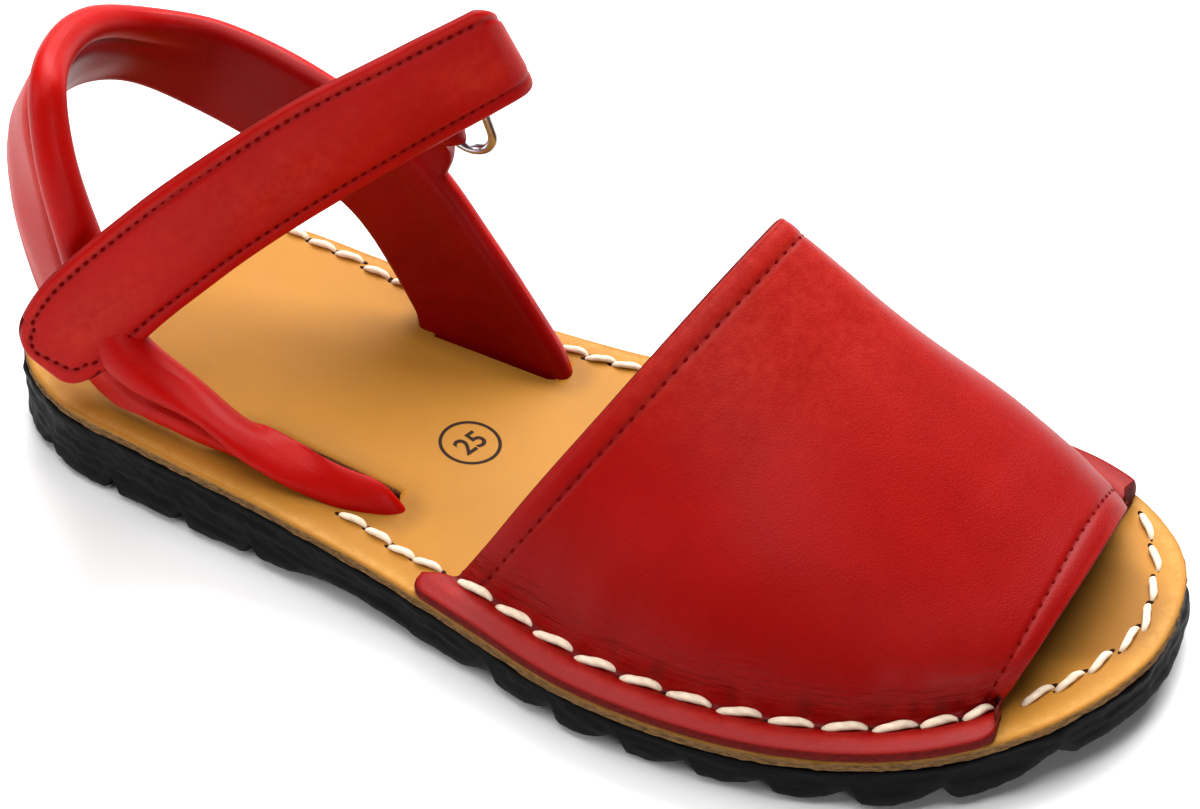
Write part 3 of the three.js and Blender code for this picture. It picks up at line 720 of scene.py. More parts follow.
@dataclass
class Last:
    """Sizes that every piece shares: the sole's outline, its profile and the footbed's place."""

    sole_length: float = 172.0
    ball_width: float = 77.0
    heel_rubber: float = 10.3
    fore_rubber: float = 5.5
    rubber_rise: tuple = (0.36, 0.46)
    toe_spring: float = 3.3
    curl_over: float = 0.28
    curl_under: float = 0.17
    waist_lift: float = 2.0
    waist: tuple = (0.61, 0.11)
    heel_bevel: float = 2.6
    bevel_length: float = 8.0
    footbed_thickness: float = 1.8
    vamp_thickness: float = 1.6
    strap_height: float = 50.0
    clearance: float = 0.3
    samples: int = 5600
    lateral: tuple = (
        (0.18, 0.0), (-0.21, 0.022), (-0.535, 0.07), (-0.74, 0.125), (-0.89, 0.2), (-0.97, 0.29),
        (-0.975, 0.385), (-0.9, 0.48), (-0.84, 0.57), (-0.797, 0.68), (-0.76, 0.8), (-0.685, 0.907),
        (-0.465, 0.972), (-0.07, 1.0),
    )
    medial: tuple = (
        (0.61, 0.022), (0.845, 0.07), (0.98, 0.13), (1.02, 0.2), (0.985, 0.3), (0.885, 0.4),
        (0.765, 0.49), (0.675, 0.57), (0.615, 0.66), (0.63, 0.78), (0.605, 0.88), (0.385, 0.96),
    )

    def __post_init__(self) -> None:
        """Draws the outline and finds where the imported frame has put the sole's middle."""
        self.toe_y = -self.sole_length / 2
        self.half_ball = self.ball_width / 2
        rows = np.array([*self.lateral, *self.medial[::-1]])
        rows = np.stack([rows[:, 0] * self.half_ball, self.toe_y + rows[:, 1] * self.sole_length], axis=1)
        line = Spline(rows, closed=True).at(np.arange(self.samples) / self.samples)
        line = np.roll(line, -int(np.argmin(line[:, 1])), axis=0)
        back = int(np.argmax(line[:, 1]))
        self.sides = {Side.LATERAL: line[: back + 1], Side.MEDIAL: np.vstack([line[back:], line[:1]])[::-1]}
        low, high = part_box("outsole")
        packed = (low.x + high.x) / 2 / MM
        self.shift = packed - (line[:, 0].min() + line[:, 0].max()) / 2

    def along(self, y: Array) -> Array:
        """Returns the share of the sole's length from the toe."""
        return (y - self.toe_y) / self.sole_length

    def curl(self, y: Array, reach: float) -> Array:
        """Returns how far the toe curls up, from 0 at a share of the length from its tip."""
        return self.toe_spring * np.maximum(0.0, 1 - self.along(y) / reach) ** 2

    def rubber_top(self, y: Array) -> Array:
        """Returns the height of the outsole's upper face."""
        start, length = self.rubber_rise
        rise = ease((self.along(y) - start) / length)
        return lerp(self.fore_rubber, self.heel_rubber, rise) + self.curl(y, self.curl_over)

    def rubber_under(self, y: Array) -> Array:
        """Returns the height of the outsole's underside, without its lugs."""
        place, reach = self.waist
        waist = np.clip((self.along(y) - place) / reach, -1, 1)
        bevel = np.maximum(0.0, 1 - (self.sole_length / 2 - y) / self.bevel_length)
        lift = self.waist_lift * np.cos(waist * pi / 2) ** 2
        return self.curl(y, self.curl_under) + lift + self.heel_bevel * bevel

    def footbed_under(self, y: Array) -> Array:
        """Returns the height of the footbed's underside."""
        return self.rubber_top(y) + self.clearance

    def footbed_top(self, y: Array) -> Array:
        """Returns the height of the footbed's upper face."""
        return self.footbed_under(y) + self.footbed_thickness

    def flange_top(self, y: Array) -> Array:
        """Returns the height of the vamp's flanges."""
        return self.footbed_top(y) + self.clearance + self.vamp_thickness

    def place(self, along: float, across: float, up: float) -> Array:
        """Returns the point at shares of the sole's length, half the ball and the strap height."""
        y = self.toe_y + along * self.sole_length
        return np.array([across * self.half_ball, y, self.footbed_top(y) + up * self.strap_height])

    def outline_x(self, side: Side, y: Array) -> Array:
        """Returns where a side of the outline lies at a given y."""
        line = self.sides[side]
        return np.interp(y, line[:, 1], line[:, 0])

    def inset_point(self, side: Side, y: float, inset: float) -> Array:
        """Returns the point inside the outline by an inset, as x and y."""
        step = 0.5
        way = unit(np.array([self.outline_x(side, y + step) - self.outline_x(side, y - step), 2 * step]))
        inward = inset if side is Side.LATERAL else -inset
        return np.array([self.outline_x(side, y) + way[1] * inward, y - way[0] * inward])

    def loop(self, steps: int) -> tuple[Array, Array]:
        """Returns the outline as a loop of points, and the way out of the sole at each.

        Args:
            steps: How many points each side has.

        Returns:
            The points and the outward ways, as x and y.
        """
        turns = pi * (np.arange(steps) + 0.5) / steps
        y = self.toe_y + self.sole_length * (1 - np.cos(turns)) / 2
        lateral, medial = (np.stack([self.outline_x(side, y), y], axis=1) for side in Side)
        points = np.vstack([lateral, medial[::-1]])
        way = unit(np.roll(points, -1, axis=0) - np.roll(points, 1, axis=0))
        return points, np.stack([-way[:, 1], way[:, 0]], axis=1)


@dataclass
class SoleLayer:
    """A layer of the sole: a stack of loops round its outline, closed by rings towards the middle."""

    last: Last
    steps: int = 360
    toe_core: float = 36.0
    heel_core: float = 27.0
    rings: tuple = (
        0.012, 0.03, 0.055, 0.085, 0.12, 0.17, 0.23, 0.3, 0.38, 0.47, 0.57, 0.68, 0.79, 0.9, 0.985,
    )

    def face(self, inset: float, height: Callable[[Array], Array]) -> list[Array]:
        """Returns the rings of an upper or lower face, from its border to the middle.

        Args:
            inset: How far inside the outline the face's border lies.
            height: The face's height at points given as x and y.

        Returns:
            One array of points for each ring.
        """
        outline, out = self.last.loop(self.steps)
        border = outline - out * inset
        half = self.last.sole_length / 2
        middle_y = np.clip(border[:, 1], self.toe_core - half, half - self.heel_core)
        middle_x = sum(self.last.outline_x(side, middle_y) for side in Side) / 2
        middle = np.stack([middle_x, middle_y], axis=1)
        found = [lerp(border, middle, share) for share in self.rings]
        return [np.column_stack([ring, height(ring)]) for ring in found]

    def mark(self, under: float, wall: list[Array], over: float) -> Array:
        """Returns a mark for every point: one value on each face, and the wall's own values."""
        count = 2 * self.steps * len(self.rings)
        return np.concatenate([np.full(count, under), *wall, np.full(count, over)])

    def build(self, loops: list[Array], **marks: Array) -> Solid:
        """Joins loops that run from the underside's middle, up the wall, to the top's middle.

        Args:
            loops: The loops in that order.
            **marks: A value for each point.

        Returns:
            The closed solid.
        """
        count = 2 * self.steps
        faces = [list(face) for face in grid_faces(len(loops), count, wrap=True)]
        for start in (0, (len(loops) - 1) * count):
            for k in range(self.steps - 1):
                across = start + count - 1 - k
                faces.append([start + k, start + k + 1, across - 1, across])
        solid = Solid(self.last.shift)
        solid.add(np.vstack(loops), faces, **marks)
        return solid


@dataclass
class Outsole(SoleLayer):
    """The rubber unit: ribbed sides, rounded lugs along its lower edge, raised at the waist."""

    levels: int = 44
    corner: float = 2.5
    top_round: float = 0.45
    rib_pitch: float = 1.75
    rib_depth: float = 0.09
    lump_depth: float = 0.17
    nub_depth: float = 0.07
    low_height: float = 4.5
    low_bulge: float = 0.25
    toe_bulge: float = 0.9
    toe_share: tuple = (0.2, 0.12)
    groove_shade: float = 0.2
    pale_band_height: float = 1.0
    heel_lugs: tuple = (71.8, 59.4, 47.0, 34.6)
    heel_notch: tuple = (1.5, 2.47, 0.8)
    fore_lugs: tuple = (-6.19, -16.59, -26.99, -37.39, -47.79, -58.19, -68.59, -78.99)
    fore_shift: float = 1.2
    fore_notch: tuple = (1.6, 5.2, 2.28, 1.25)

    def notches(self, y: Array) -> Array:
        """Returns how deep the grooves between the lugs cut in at each y."""
        found = [np.zeros_like(y)]
        reach, depth, power = self.heel_notch
        for centre in self.heel_lugs:
            found.append(depth * np.clip(1 - np.abs(y - centre) / reach, 0, 1) ** power)
        steep, slow, depth, power = self.fore_notch
        for centre in self.fore_lugs:
            apart = y - (centre - self.fore_shift)
            share = np.where(apart < 0, 1 + apart / steep, 1 - apart / slow)
            found.append(depth * np.clip(share, 0, 1) ** power)
        return np.max(found, axis=0)

    def underside(self, points: Array) -> Array:
        """Returns the tread's height at points given as x and y."""
        y = points[:, 1]
        return self.last.rubber_under(y) + self.notches(y)

    def ribs(self, y: Array, x: Array, depth: Array) -> Array:
        """Returns how far the side's wavy ribs stand out.

        Args:
            y: Where along the sole each point is.
            x: Where across the sole each point is.
            depth: How far below the outsole's upper edge each point is.

        Returns:
            The distance outwards.
        """
        wave = 0.24 * np.sin(y / 6.1 + 0.7) + 0.16 * np.sin(y / 2.7 + x / 7) + 0.1 * np.sin(y / 1.3 - x / 5)
        rib = np.sin(2 * pi * (depth / self.rib_pitch + wave))
        swell = 0.6 + 0.4 * np.sin(y / 8.3 + depth) * np.sin(y / 3.9 + 1)
        return self.rib_depth * rib * swell * np.clip((depth - 0.5) / 0.7, 0, 1)

    def wall(self, bottom: Array, top: Array) -> list[tuple[float, Array]]:
        """Returns the wall's loops from the bottom up, each as its inset and its heights."""
        found = []
        for turn in quarter_turn(7):
            inset, rise = self.corner * (1 - sin(turn)), self.corner * (1 - cos(turn))
            found.append((inset, bottom + rise))
        for share in np.linspace(0, 1, self.levels)[1:]:
            found.append((0.0, lerp(bottom + self.corner, top - self.top_round, share)))
        for turn in quarter_turn(5)[1:]:
            inset, fall = self.top_round * (1 - cos(turn)), self.top_round * (1 - sin(turn))
            found.append((inset, top - fall))
        return found

    def make(self) -> None:
        """Builds and dresses the outsole."""
        outline, out = self.last.loop(self.steps)
        x, y = outline.T
        bottom, top = self.underside(outline), self.last.rubber_top(y)
        start, length = self.toe_share
        toe = ease((start - self.last.along(y)) / length)
        lump, nub = Ripples(5, 8.0), Ripples(6, 2.4, 14)
        loops, shade, wear = [], [], []
        for inset, height in self.wall(bottom, top):
            low = ease(1 - (height - bottom) / self.low_height)
            ribs = self.ribs(y, x, top - height)
            spots = np.column_stack([outline, 2 * height])
            push = ribs + self.toe_bulge * toe * low + self.low_bulge * low - inset
            push = push + self.lump_depth * lump.at(spots) + self.nub_depth * nub.at(spots)
            loops.append(np.column_stack([outline + out * push[:, None], height]))
            # Painted shade in the grooves between the ribs and along the top, under the footbed; a paler
            # band just above the lower edge.
            groove = np.clip(-ribs / self.rib_depth, 0, 1)
            shade.append(np.maximum(self.groove_shade * groove, hill(top - height, 0.5)))
            wear.append(0.5 * hill(height - bottom - self.pale_band_height, 1.4))
        under = self.face(self.corner, self.underside)
        over = self.face(self.top_round, lambda points: self.last.rubber_top(points[:, 1]))
        marks = {"shade": self.mark(0.0, shade, 1.0), "wear": self.mark(0.0, wear, 0.0)}
        solid = self.build([*under[::-1], *loops, *over], **marks)
        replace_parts(solid.piece("rubber_outsole", SOLE_RUBBER.build(), Slot.RUBBER), "outsole")


@dataclass
class Footbed(SoleLayer):
    """The leather insole board, with the two slots that the heel strap comes up through."""

    round_edge: float = 0.55
    sunk: float = 0.05
    heel_dent: tuple = (0.45, 17.0)
    heel_centre: tuple = (0.5, 52.0)
    ball_dent: tuple = (0.35, 24.0)
    ball_centre: tuple = (3.0, -38.0)
    fuzz_depth: float = 0.09
    wave_depth: float = 0.05
    rim_wear: tuple = (0.55, 0.5, 0.2)
    slot_width: float = 4.8
    slot_points: int = 40
    slot_heights: tuple = (2.0, 25.0)
    slot_shade: float = 0.4
    vamp_shade: float = 0.32
    opening_shade: float = 0.45
    opening_centre: tuple = (10.0, -69.0)
    slots: tuple = (
        ((0.603, -0.53, 0.016), (0.735, -0.52, 0.009), 1.3),
        ((0.57, 0.45, 0.019), (0.69, 0.41, 0.015), 0.0),
    )

    def surface(self, points: Array) -> Array:
        """Returns the upper face's height at points given as x and y."""
        x, y = points[:, 0], points[:, 1]
        depth, reach = self.heel_dent
        heel = depth * hill(np.hypot(x - self.heel_centre[0], (y - self.heel_centre[1]) * 0.7), reach)
        depth, reach = self.ball_dent
        ball = depth * hill(np.hypot((x - self.ball_centre[0]) * 0.8, y - self.ball_centre[1]), reach)
        uneven = self.wave_depth * Ripples(11, 16.0).at(np.column_stack([points, 0 * x]))
        return self.last.footbed_top(y) - heel - ball - self.sunk + uneven

    def cutter(self, front: Array, back: Array, play: float) -> Object:
        """Returns the prism that cuts one slot.

        Args:
            front: The slot's front end.
            back: Its back end.
            play: How much wider than the strap the slot stands open.

        Returns:
            The cutting object, to be deleted after the cut.
        """
        middle = (front + back) / 2
        way = unit((back - front)[:2])
        across = np.array([-way[1], way[0]])
        middle = middle[:2] + across * np.sign(middle[0]) * play / 2
        half = (self.slot_width + play) / 2
        reach = np.linalg.norm((back - front)[:2]) / 2 + 0.6 + play / 4 - half
        turns = full_turn(self.slot_points)
        along = np.cos(turns) * half + np.sign(np.cos(turns)) * reach
        wobble = 1 + 0.03 * np.sin(turns * 5) + 0.02 * np.sin(turns * 9 + 1)
        shape = np.stack([along, np.sin(turns) * half], axis=1) * wobble[:, None]
        flat = middle + shape @ np.stack([way, across])
        loops = [np.column_stack([flat, np.full(len(flat), height)]) for height in self.slot_heights]
        solid = Solid(self.last.shift)
        solid.add_tube(np.stack(loops))
        return solid.piece("slot_cutter", CUT_SLOT.build(), Slot.FOOTBED)

    def wall(self, low: Array, high: Array) -> list[tuple[float, Array, float]]:
        """Returns the wall's loops from the bottom up: inset, heights and how raw the cut is."""
        found = [(0.25, low, 1.0), (0.05, low + 0.15, 1.0)]
        for share in np.linspace(0, 1, 6):
            found.append((0.0, lerp(low + 0.2, high - self.round_edge, share), 1.0))
        for turn in quarter_turn(7)[1:]:
            fall = 1 - sin(turn)
            found.append((self.round_edge * (1 - cos(turn)), high - self.round_edge * fall, fall))
        return found

    def make(self) -> None:
        """Builds the board, cuts its slots and dresses it."""
        outline, out = self.last.loop(self.steps)
        y = outline[:, 1]
        fuzz, wave = Ripples(21, 1.7, 14), Ripples(22, 6.0, 8)
        wall = self.wall(self.last.footbed_under(y), self.last.footbed_top(y) - self.sunk)
        loops, cut = [], []
        for inset, height, raw in wall:
            spots = np.column_stack([outline, height * 3])
            uneven = self.fuzz_depth * fuzz.at(spots) + self.wave_depth * wave.at(spots) - 0.1
            loops.append(np.column_stack([outline + out * (-inset + raw * uneven)[:, None], height]))
            cut.append(np.full(len(y), raw))
        under = self.face(wall[0][0], lambda points: self.last.footbed_under(points[:, 1]))
        over = self.face(self.round_edge, self.surface)
        board = [*under[::-1], *loops, *over]
        rim = np.zeros((len(board), 2 * self.steps))
        first = len(under) + len(loops)
        rim[first : first + len(self.rim_wear)] = np.array(self.rim_wear)[:, None]
        marks = {"edge": self.mark(1.0, cut, 0.0), "wear": rim, "shade": self.shadows(np.vstack(board))}
        made = self.build(board, **marks).piece("leather_footbed", TAN.build(), Slot.FOOTBED)
        made.data.materials.append(CUT_SLOT.build())
        for front, back, play in self.slots:
            self.cut(made, self.cutter(self.last.place(*front), self.last.place(*back), play))
        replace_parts(made, "footbed")

    def shadows(self, points: Array) -> Array:
        """Returns how much darker each point of the board is: darker round the slots, and painted shadow
        under the vamp and in the toe opening.
        """
        x, y = points[:, 0], points[:, 1]
        slots = np.zeros(len(points))
        for front, back, play in self.slots:
            start, end = self.last.place(*front)[:2], self.last.place(*back)[:2]
            way = end - start
            share = np.clip(((points[:, :2] - start) @ way) / (way @ way), 0, 1)
            apart = np.linalg.norm(points[:, :2] - lerp(start, end, share[:, None]), axis=1)
            slots = np.maximum(slots, self.slot_shade * ease(1 - (apart - 2.5 - play / 2) / 3.5))
        # Painted shadow that the vamp casts over the board and into the toe opening.
        under_vamp = self.vamp_shade * ease((2 - y) / 12) * ease((y + 78) / 10)
        from_opening = np.hypot(x - self.opening_centre[0], 0.75 * (y - self.opening_centre[1]))
        opening = self.opening_shade * ease((-58 - y) / 6) * ease((12 - from_opening) / 4 + 0.5)
        middle = np.clip(1.2 - np.abs(x - 3) / 40, 0, 1)
        return np.maximum(slots, np.maximum(under_vamp, opening) * middle)

    def cut(self, board: Object, cutter: Object) -> None:
        """Cuts one slot into the board, gives its walls their finish and deletes its cutter."""
        change = board.modifiers.new("slot", "BOOLEAN")
        change.operation, change.solver, change.object = "DIFFERENCE", "EXACT", cutter
        shaped = board.evaluated_get(bpy.context.evaluated_depsgraph_get())
        mesh = bpy.data.meshes.new_from_object(shaped)
        board.modifiers.clear()
        old, board.data = board.data, mesh
        bpy.data.meshes.remove(old)
        box = np.array(cutter.bound_box)
        low, high = box.min(axis=0) - MM / 10, box.max(axis=0) + MM / 10
        for face in mesh.polygons:
            inside = all(low[k] < face.center[k] < high[k] for k in (0, 1))
            if inside and abs(face.normal.z) < 0.3:
                face.material_index = 1
        bpy.data.objects.remove(cutter)


@dataclass(frozen=True)
class VampEdge:
    """One open edge of the vamp: where it stands, how high it is and how full its arch is."""

    lateral: float
    lateral_end: float
    medial: float
    medial_end: float
    height: float
    lean: float
    ridge: float
    outer: float
    inner: float


@dataclass
class Vamp:
    """The red leather arched over the forefoot, with its two flanges stitched to the footbed."""

    last: Last
    instep: VampEdge = VampEdge(0.513, 0.537, 0.508, 0.508, 1.0, 0.56, 0.345, 1.75, 2.6)
    opening: VampEdge = VampEdge(0.05, 0.062, 0.07, 0.09, 0.215, 0.36, 0.3, 2.1, 1.75)
    height: float = 41.5
    flange_width: float = 5.8
    flange_corner: float = 2.7
    rows: int = 190
    flange_steps: int = 11
    arch_steps: int = 190
    arch_samples: int = 160
    edge_crowding: float = 0.55
    foot_reach: float = 5.0
    foot_rounds: int = 9
    seam_inset: float = 5.15
    seam_start: float = 3.7
    stitch_pitch: float = 7.0
    groove_depth: float = 0.62
    roll_height: float = 0.24
    fold_depth: float = 0.1
    fold_zone: tuple = (2.6, 2.3)
    wide_fold_depth: float = 0.2
    wide_fold_zone: tuple = (7.0, 6.0)
    soft_depth: float = 0.35
    soft_start: float = 6.0
    soft_reach: float = 18.0
    track_depth: float = 0.16
    track_width: float = 0.5
    lip_depth: float = 0.12
    lip_width: float = 1.3
    lip_ridge: float = 0.08
    crease_zone: tuple = (3.2, 4.2)
    rim_bulge: float = 0.55
    rim_shade: float = 0.4
    machine_inset: float = 3.4
    machine_pitch: float = 2.1
    low_shade: float = 0.34
    flange_shade: float = 0.3
    ridge_highlight: float = 0.3

    def value(self, name: str, share: float) -> float:
        """Returns one value of the vamp between its two edges."""
        return lerp(getattr(self.instep, name), getattr(self.opening, name), share)

    def flange(self, side: Side, share: float) -> tuple[Array, Array]:
        """Returns the outer edge of a side's flange and the foot of its arch."""
        length = self.last.sole_length
        from_end = min(share, 1 - share) * (self.instep.lateral - self.opening.lateral) * length
        short = self.flange_corner - min(from_end, self.flange_corner)
        cut = self.flange_corner - math.sqrt(self.flange_corner**2 - short**2)
        found = []
        for name, inset in ((side.value + "_end", cut), (side.value, self.flange_width)):
            y = self.last.toe_y + self.value(name, share) * length
            point = self.last.inset_point(side, y, inset)
            found.append(np.array([*point, self.last.flange_top(point[1])]))
        return found[0], found[1]

    def line(self, share: float) -> Array:
        """Returns one line across the vamp's outer face, evenly spaced on each part.

        Args:
            share: Where the line is, from the instep at 0 to the toe opening at 1.

        Returns:
            Its points, from the lateral flange over the arch to the medial flange.
        """
        (left_edge, left), (right_edge, right) = (self.flange(side, share) for side in Side)
        rise, lean = self.value("height", share) * self.height, self.value("lean", share)
        ridge = self.value("ridge", share) * self.last.half_ball
        turns = quarter_turn(self.arch_samples)
        halves = []
        for foot, full in ((left, "outer"), (right, "inner")):
            power = 2 / self.value(full, share)
            x = ridge + (foot[0] - ridge) * np.clip(np.cos(turns), 0, 1) ** power
            up = rise * np.sin(turns) ** power
            base = left + (right - left) * ((x - left[0]) / (right[0] - left[0]))[:, None]
            halves.append(np.column_stack([x, base[:, 1] - lean * up, base[:, 2] + up]))
        arch = np.vstack([halves[0], halves[1][::-1][1:]])
        run = run_length(arch)
        arch = points_at(arch, run, np.linspace(0, run[-1], self.arch_steps + 1))
        shares = np.linspace(0, 1, self.flange_steps)[:-1, None]
        return np.vstack([lerp(left_edge, left, shares), arch, lerp(right_edge, right, shares)[::-1]])

    def shares(self) -> Array:
        """Returns the lines' places, closer together near the two open edges."""
        even = np.linspace(0, 1, self.rows + 1)
        return lerp(even, (1 - np.cos(pi * even)) / 2, self.edge_crowding)

    def smooth_feet(self, grid: Array) -> None:
        """Rounds the grid's corner between flange and arch."""
        columns = grid.shape[1]
        number = np.arange(columns)
        foot = self.flange_steps - 1
        near = np.minimum(np.abs(number - foot), np.abs(number - (columns - 1 - foot)))
        weight = np.clip(1 - near / self.foot_reach, 0, 1)[None, 1:-1, None]
        for _ in range(self.foot_rounds):
            middle = (grid[:, :-2] + grid[:, 2:]) / 2
            grid[:, 1:-1] = lerp(grid[:, 1:-1], middle, 0.6 * weight)

    def measures(self, grid: Array) -> dict[str, Array]:
        """Measures where each point is on the leather, in millimetres.

        Args:
            grid: The outer face's points.

        Returns:
            The distance up from each foot, outwards on each flange where it is below 0, the
            distances from the back and the front edge, and the run along the sole.
        """
        across = np.zeros(grid.shape[:2])
        across[:, 1:] = np.cumsum(np.linalg.norm(np.diff(grid, axis=1), axis=2), axis=1)
        along = np.zeros(grid.shape[:2])
        along[1:] = np.cumsum(np.linalg.norm(np.diff(grid, axis=0), axis=2), axis=0)
        foot = self.flange_steps - 1
        lateral = across - across[:, foot : foot + 1]
        medial = across[:, -foot - 1 : -foot] - across
        up = np.where(np.arange(grid.shape[1]) < grid.shape[1] / 2, lateral, medial)
        run = along[:, foot : foot + 1] + np.zeros_like(up)
        return {"up": up, "back": along, "front": along[-1:] - along, "run": run}

    def relief(self, grid: Array, at: dict[str, Array]) -> tuple[Array, dict[str, Array]]:
        """Works out the leather's relief and its marks.

        Args:
            grid: The outer face's points.
            at: Their measures.

        Returns:
            How far each point stands out, its painted shade, its painted highlights and how creased it is.
        """
        up, run = at["up"], at["run"]
        seam = up + (self.flange_width - self.seam_inset)
        beat = 0.5 + 0.5 * np.cos(2 * pi * (run - self.seam_start) / self.stitch_pitch)
        flange = np.clip(-seam / (self.seam_inset - 0.2), 0, 1)
        roll = np.sin(pi * flange) ** 0.8 * self.roll_height * (0.8 + 0.2 * beat)
        slanted = np.dstack([run + up * 0.35, up * 0.16, 0 * up])
        folds = Ripples(31, 3.1, 12).at(slanted) * zone(up, self.fold_zone)
        wide_folds = Ripples(32, 11.0, 8).at(slanted) * zone(up, self.wide_fold_zone)
        soft = Ripples(33, 34.0, 8).at(grid) * ease((up - self.soft_start) / self.soft_reach)
        edge = np.minimum(at["back"], at["front"]) + np.where(up < 0.5, 50, 0)
        track = hill(edge - self.machine_inset, self.track_width)
        lip = ease(1 - edge / self.lip_width)
        push = roll - self.groove_depth * hill(seam, 0.95) * (0.75 + 0.25 * beat)
        push = push + self.fold_depth * folds + self.wide_fold_depth * wide_folds + self.soft_depth * soft
        push = push - self.track_depth * track - self.lip_depth * lip
        push = push + self.lip_ridge * hill(edge - 2.0, 1.0)
        height = np.clip((grid[:, :, 2] - 12) / 34, 0, 1)
        # Painted shade: in the seam's groove, along the machine track, in the folds, on the low side away
        # from the light and on the flanges.
        low_side = self.low_shade * ease((up - 1) / 3) * ease(1 - height * 1.7)
        painted_shade = 0.5 * np.clip(-folds, 0, 1)
        shades = [0.85 * hill(seam, 0.8), 0.5 * track, painted_shade, low_side, self.flange_shade * (up < -0.5)]
        # Painted highlights: a stripe along each flange, the lip of the open edges and the ridge.
        lit_and_worn = 0.25 * ease(1 - np.abs(up + 3.4) / 1.6) * (up < 0) + self.lip_depth * lip * (up > 0)
        lit_and_worn = lit_and_worn + self.ridge_highlight * ease((height - 0.55) / 0.45)
        creases = zone(up, self.crease_zone) * ease((up - 0.3) / 1.5)
        return push, {"shade": np.max(shades, axis=0), "wear": lit_and_worn, "creases": creases}

    def make(self) -> None:
        """Builds and dresses the vamp, and keeps its outer face for the seams."""
        grid = np.stack([self.line(share) for share in self.shares()])
        self.smooth_feet(grid)
        self.at = self.measures(grid)
        push, found = self.relief(grid, self.at)
        way = self.normals(grid)
        self.outer = grid + way * push[:, :, None]
        self.normal = self.normals(self.outer)
        inner = grid - way * self.last.vamp_thickness
        foot = self.flange_steps + 1
        for flange in (inner[:, :foot], inner[:, -foot:]):
            lowest = self.last.footbed_top(flange[:, :, 1]) + self.last.clearance - 0.02
            flange[:, :, 2] = np.maximum(flange[:, :, 2], lowest)
        points, faces, on_rim, on_back = sheet_with_rim(self.outer, inner, self.rim_bulge)
        marks = {name: np.zeros(len(points)) for name in found}
        # Painted shade on the rim.
        marks["shade"][2 * push.size :] = self.rim_shade
        for name, values in found.items():
            marks[name][: push.size] = values.ravel()
        solid = Solid(self.last.shift)
        solid.add(points, faces, edge=on_rim * 0.8, back=on_back, **marks)
        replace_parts(solid.piece("vamp_leather", RED.build(), Slot.UPPER, 60), "vamp")

    def normals(self, grid: Array) -> Array:
        """Returns the way out of the vamp's outer face at each point."""
        found = unit(np.cross(np.gradient(grid, axis=1), np.gradient(grid, axis=0)))
        return found * np.sign(found[grid.shape[0] // 2, grid.shape[1] // 2, 2])

    def read(self, lines: Sequence[tuple], measure: str, place: float) -> tuple[Array, Array]:
        """Reads the outer face along a seam.

        Args:
            lines: For each point of the seam, the grid's rows and columns that it lies between.
            measure: The measure that holds the seam's place.
            place: The value of that measure on the seam.

        Returns:
            The seam's points, and the way out at each.
        """
        found = []
        for grid in (self.outer, self.normal):
            rows = [points_at(grid[at], self.at[measure][at], np.array([place]))[0] for at in lines]
            found.append(np.array(rows))
        return found[0], unit(found[1])

    def seam(self, side: Side) -> tuple[Array, Array]:
        """Returns the line of hand stitches on one flange, and the way out at each point."""
        count = self.outer.shape[1]
        half = count // 2
        columns = slice(0, half) if side is Side.LATERAL else slice(count - 1, half, -1)
        lines = [(row, columns) for row in range(len(self.outer))]
        return self.read(lines, "up", self.seam_inset - self.flange_width)

    def machine_line(self, measure: str) -> tuple[Array, Array]:
        """Returns the machine seam beside an open edge, and the way out at each point.

        Args:
            measure: Which edge it runs beside, back or front.

        Returns:
            Its points and outward ways, over the arch alone.
        """
        start = self.flange_steps + 2
        rows = slice(None) if measure == "back" else slice(None, None, -1)
        lines = [(rows, column) for column in range(start, self.outer.shape[1] - start)]
        return self.read(lines, measure, self.machine_inset)


@dataclass
class Frames:
    """A strap's run: at each step its middle, the way along it, across it and out of its face."""

    centre: Array
    along: Array
    across: Array
    out: Array
    width: Array

    def __post_init__(self) -> None:
        """Measures how far along the strap each step lies."""
        self.run = run_length(self.centre)
        self.end = self.run[-1]


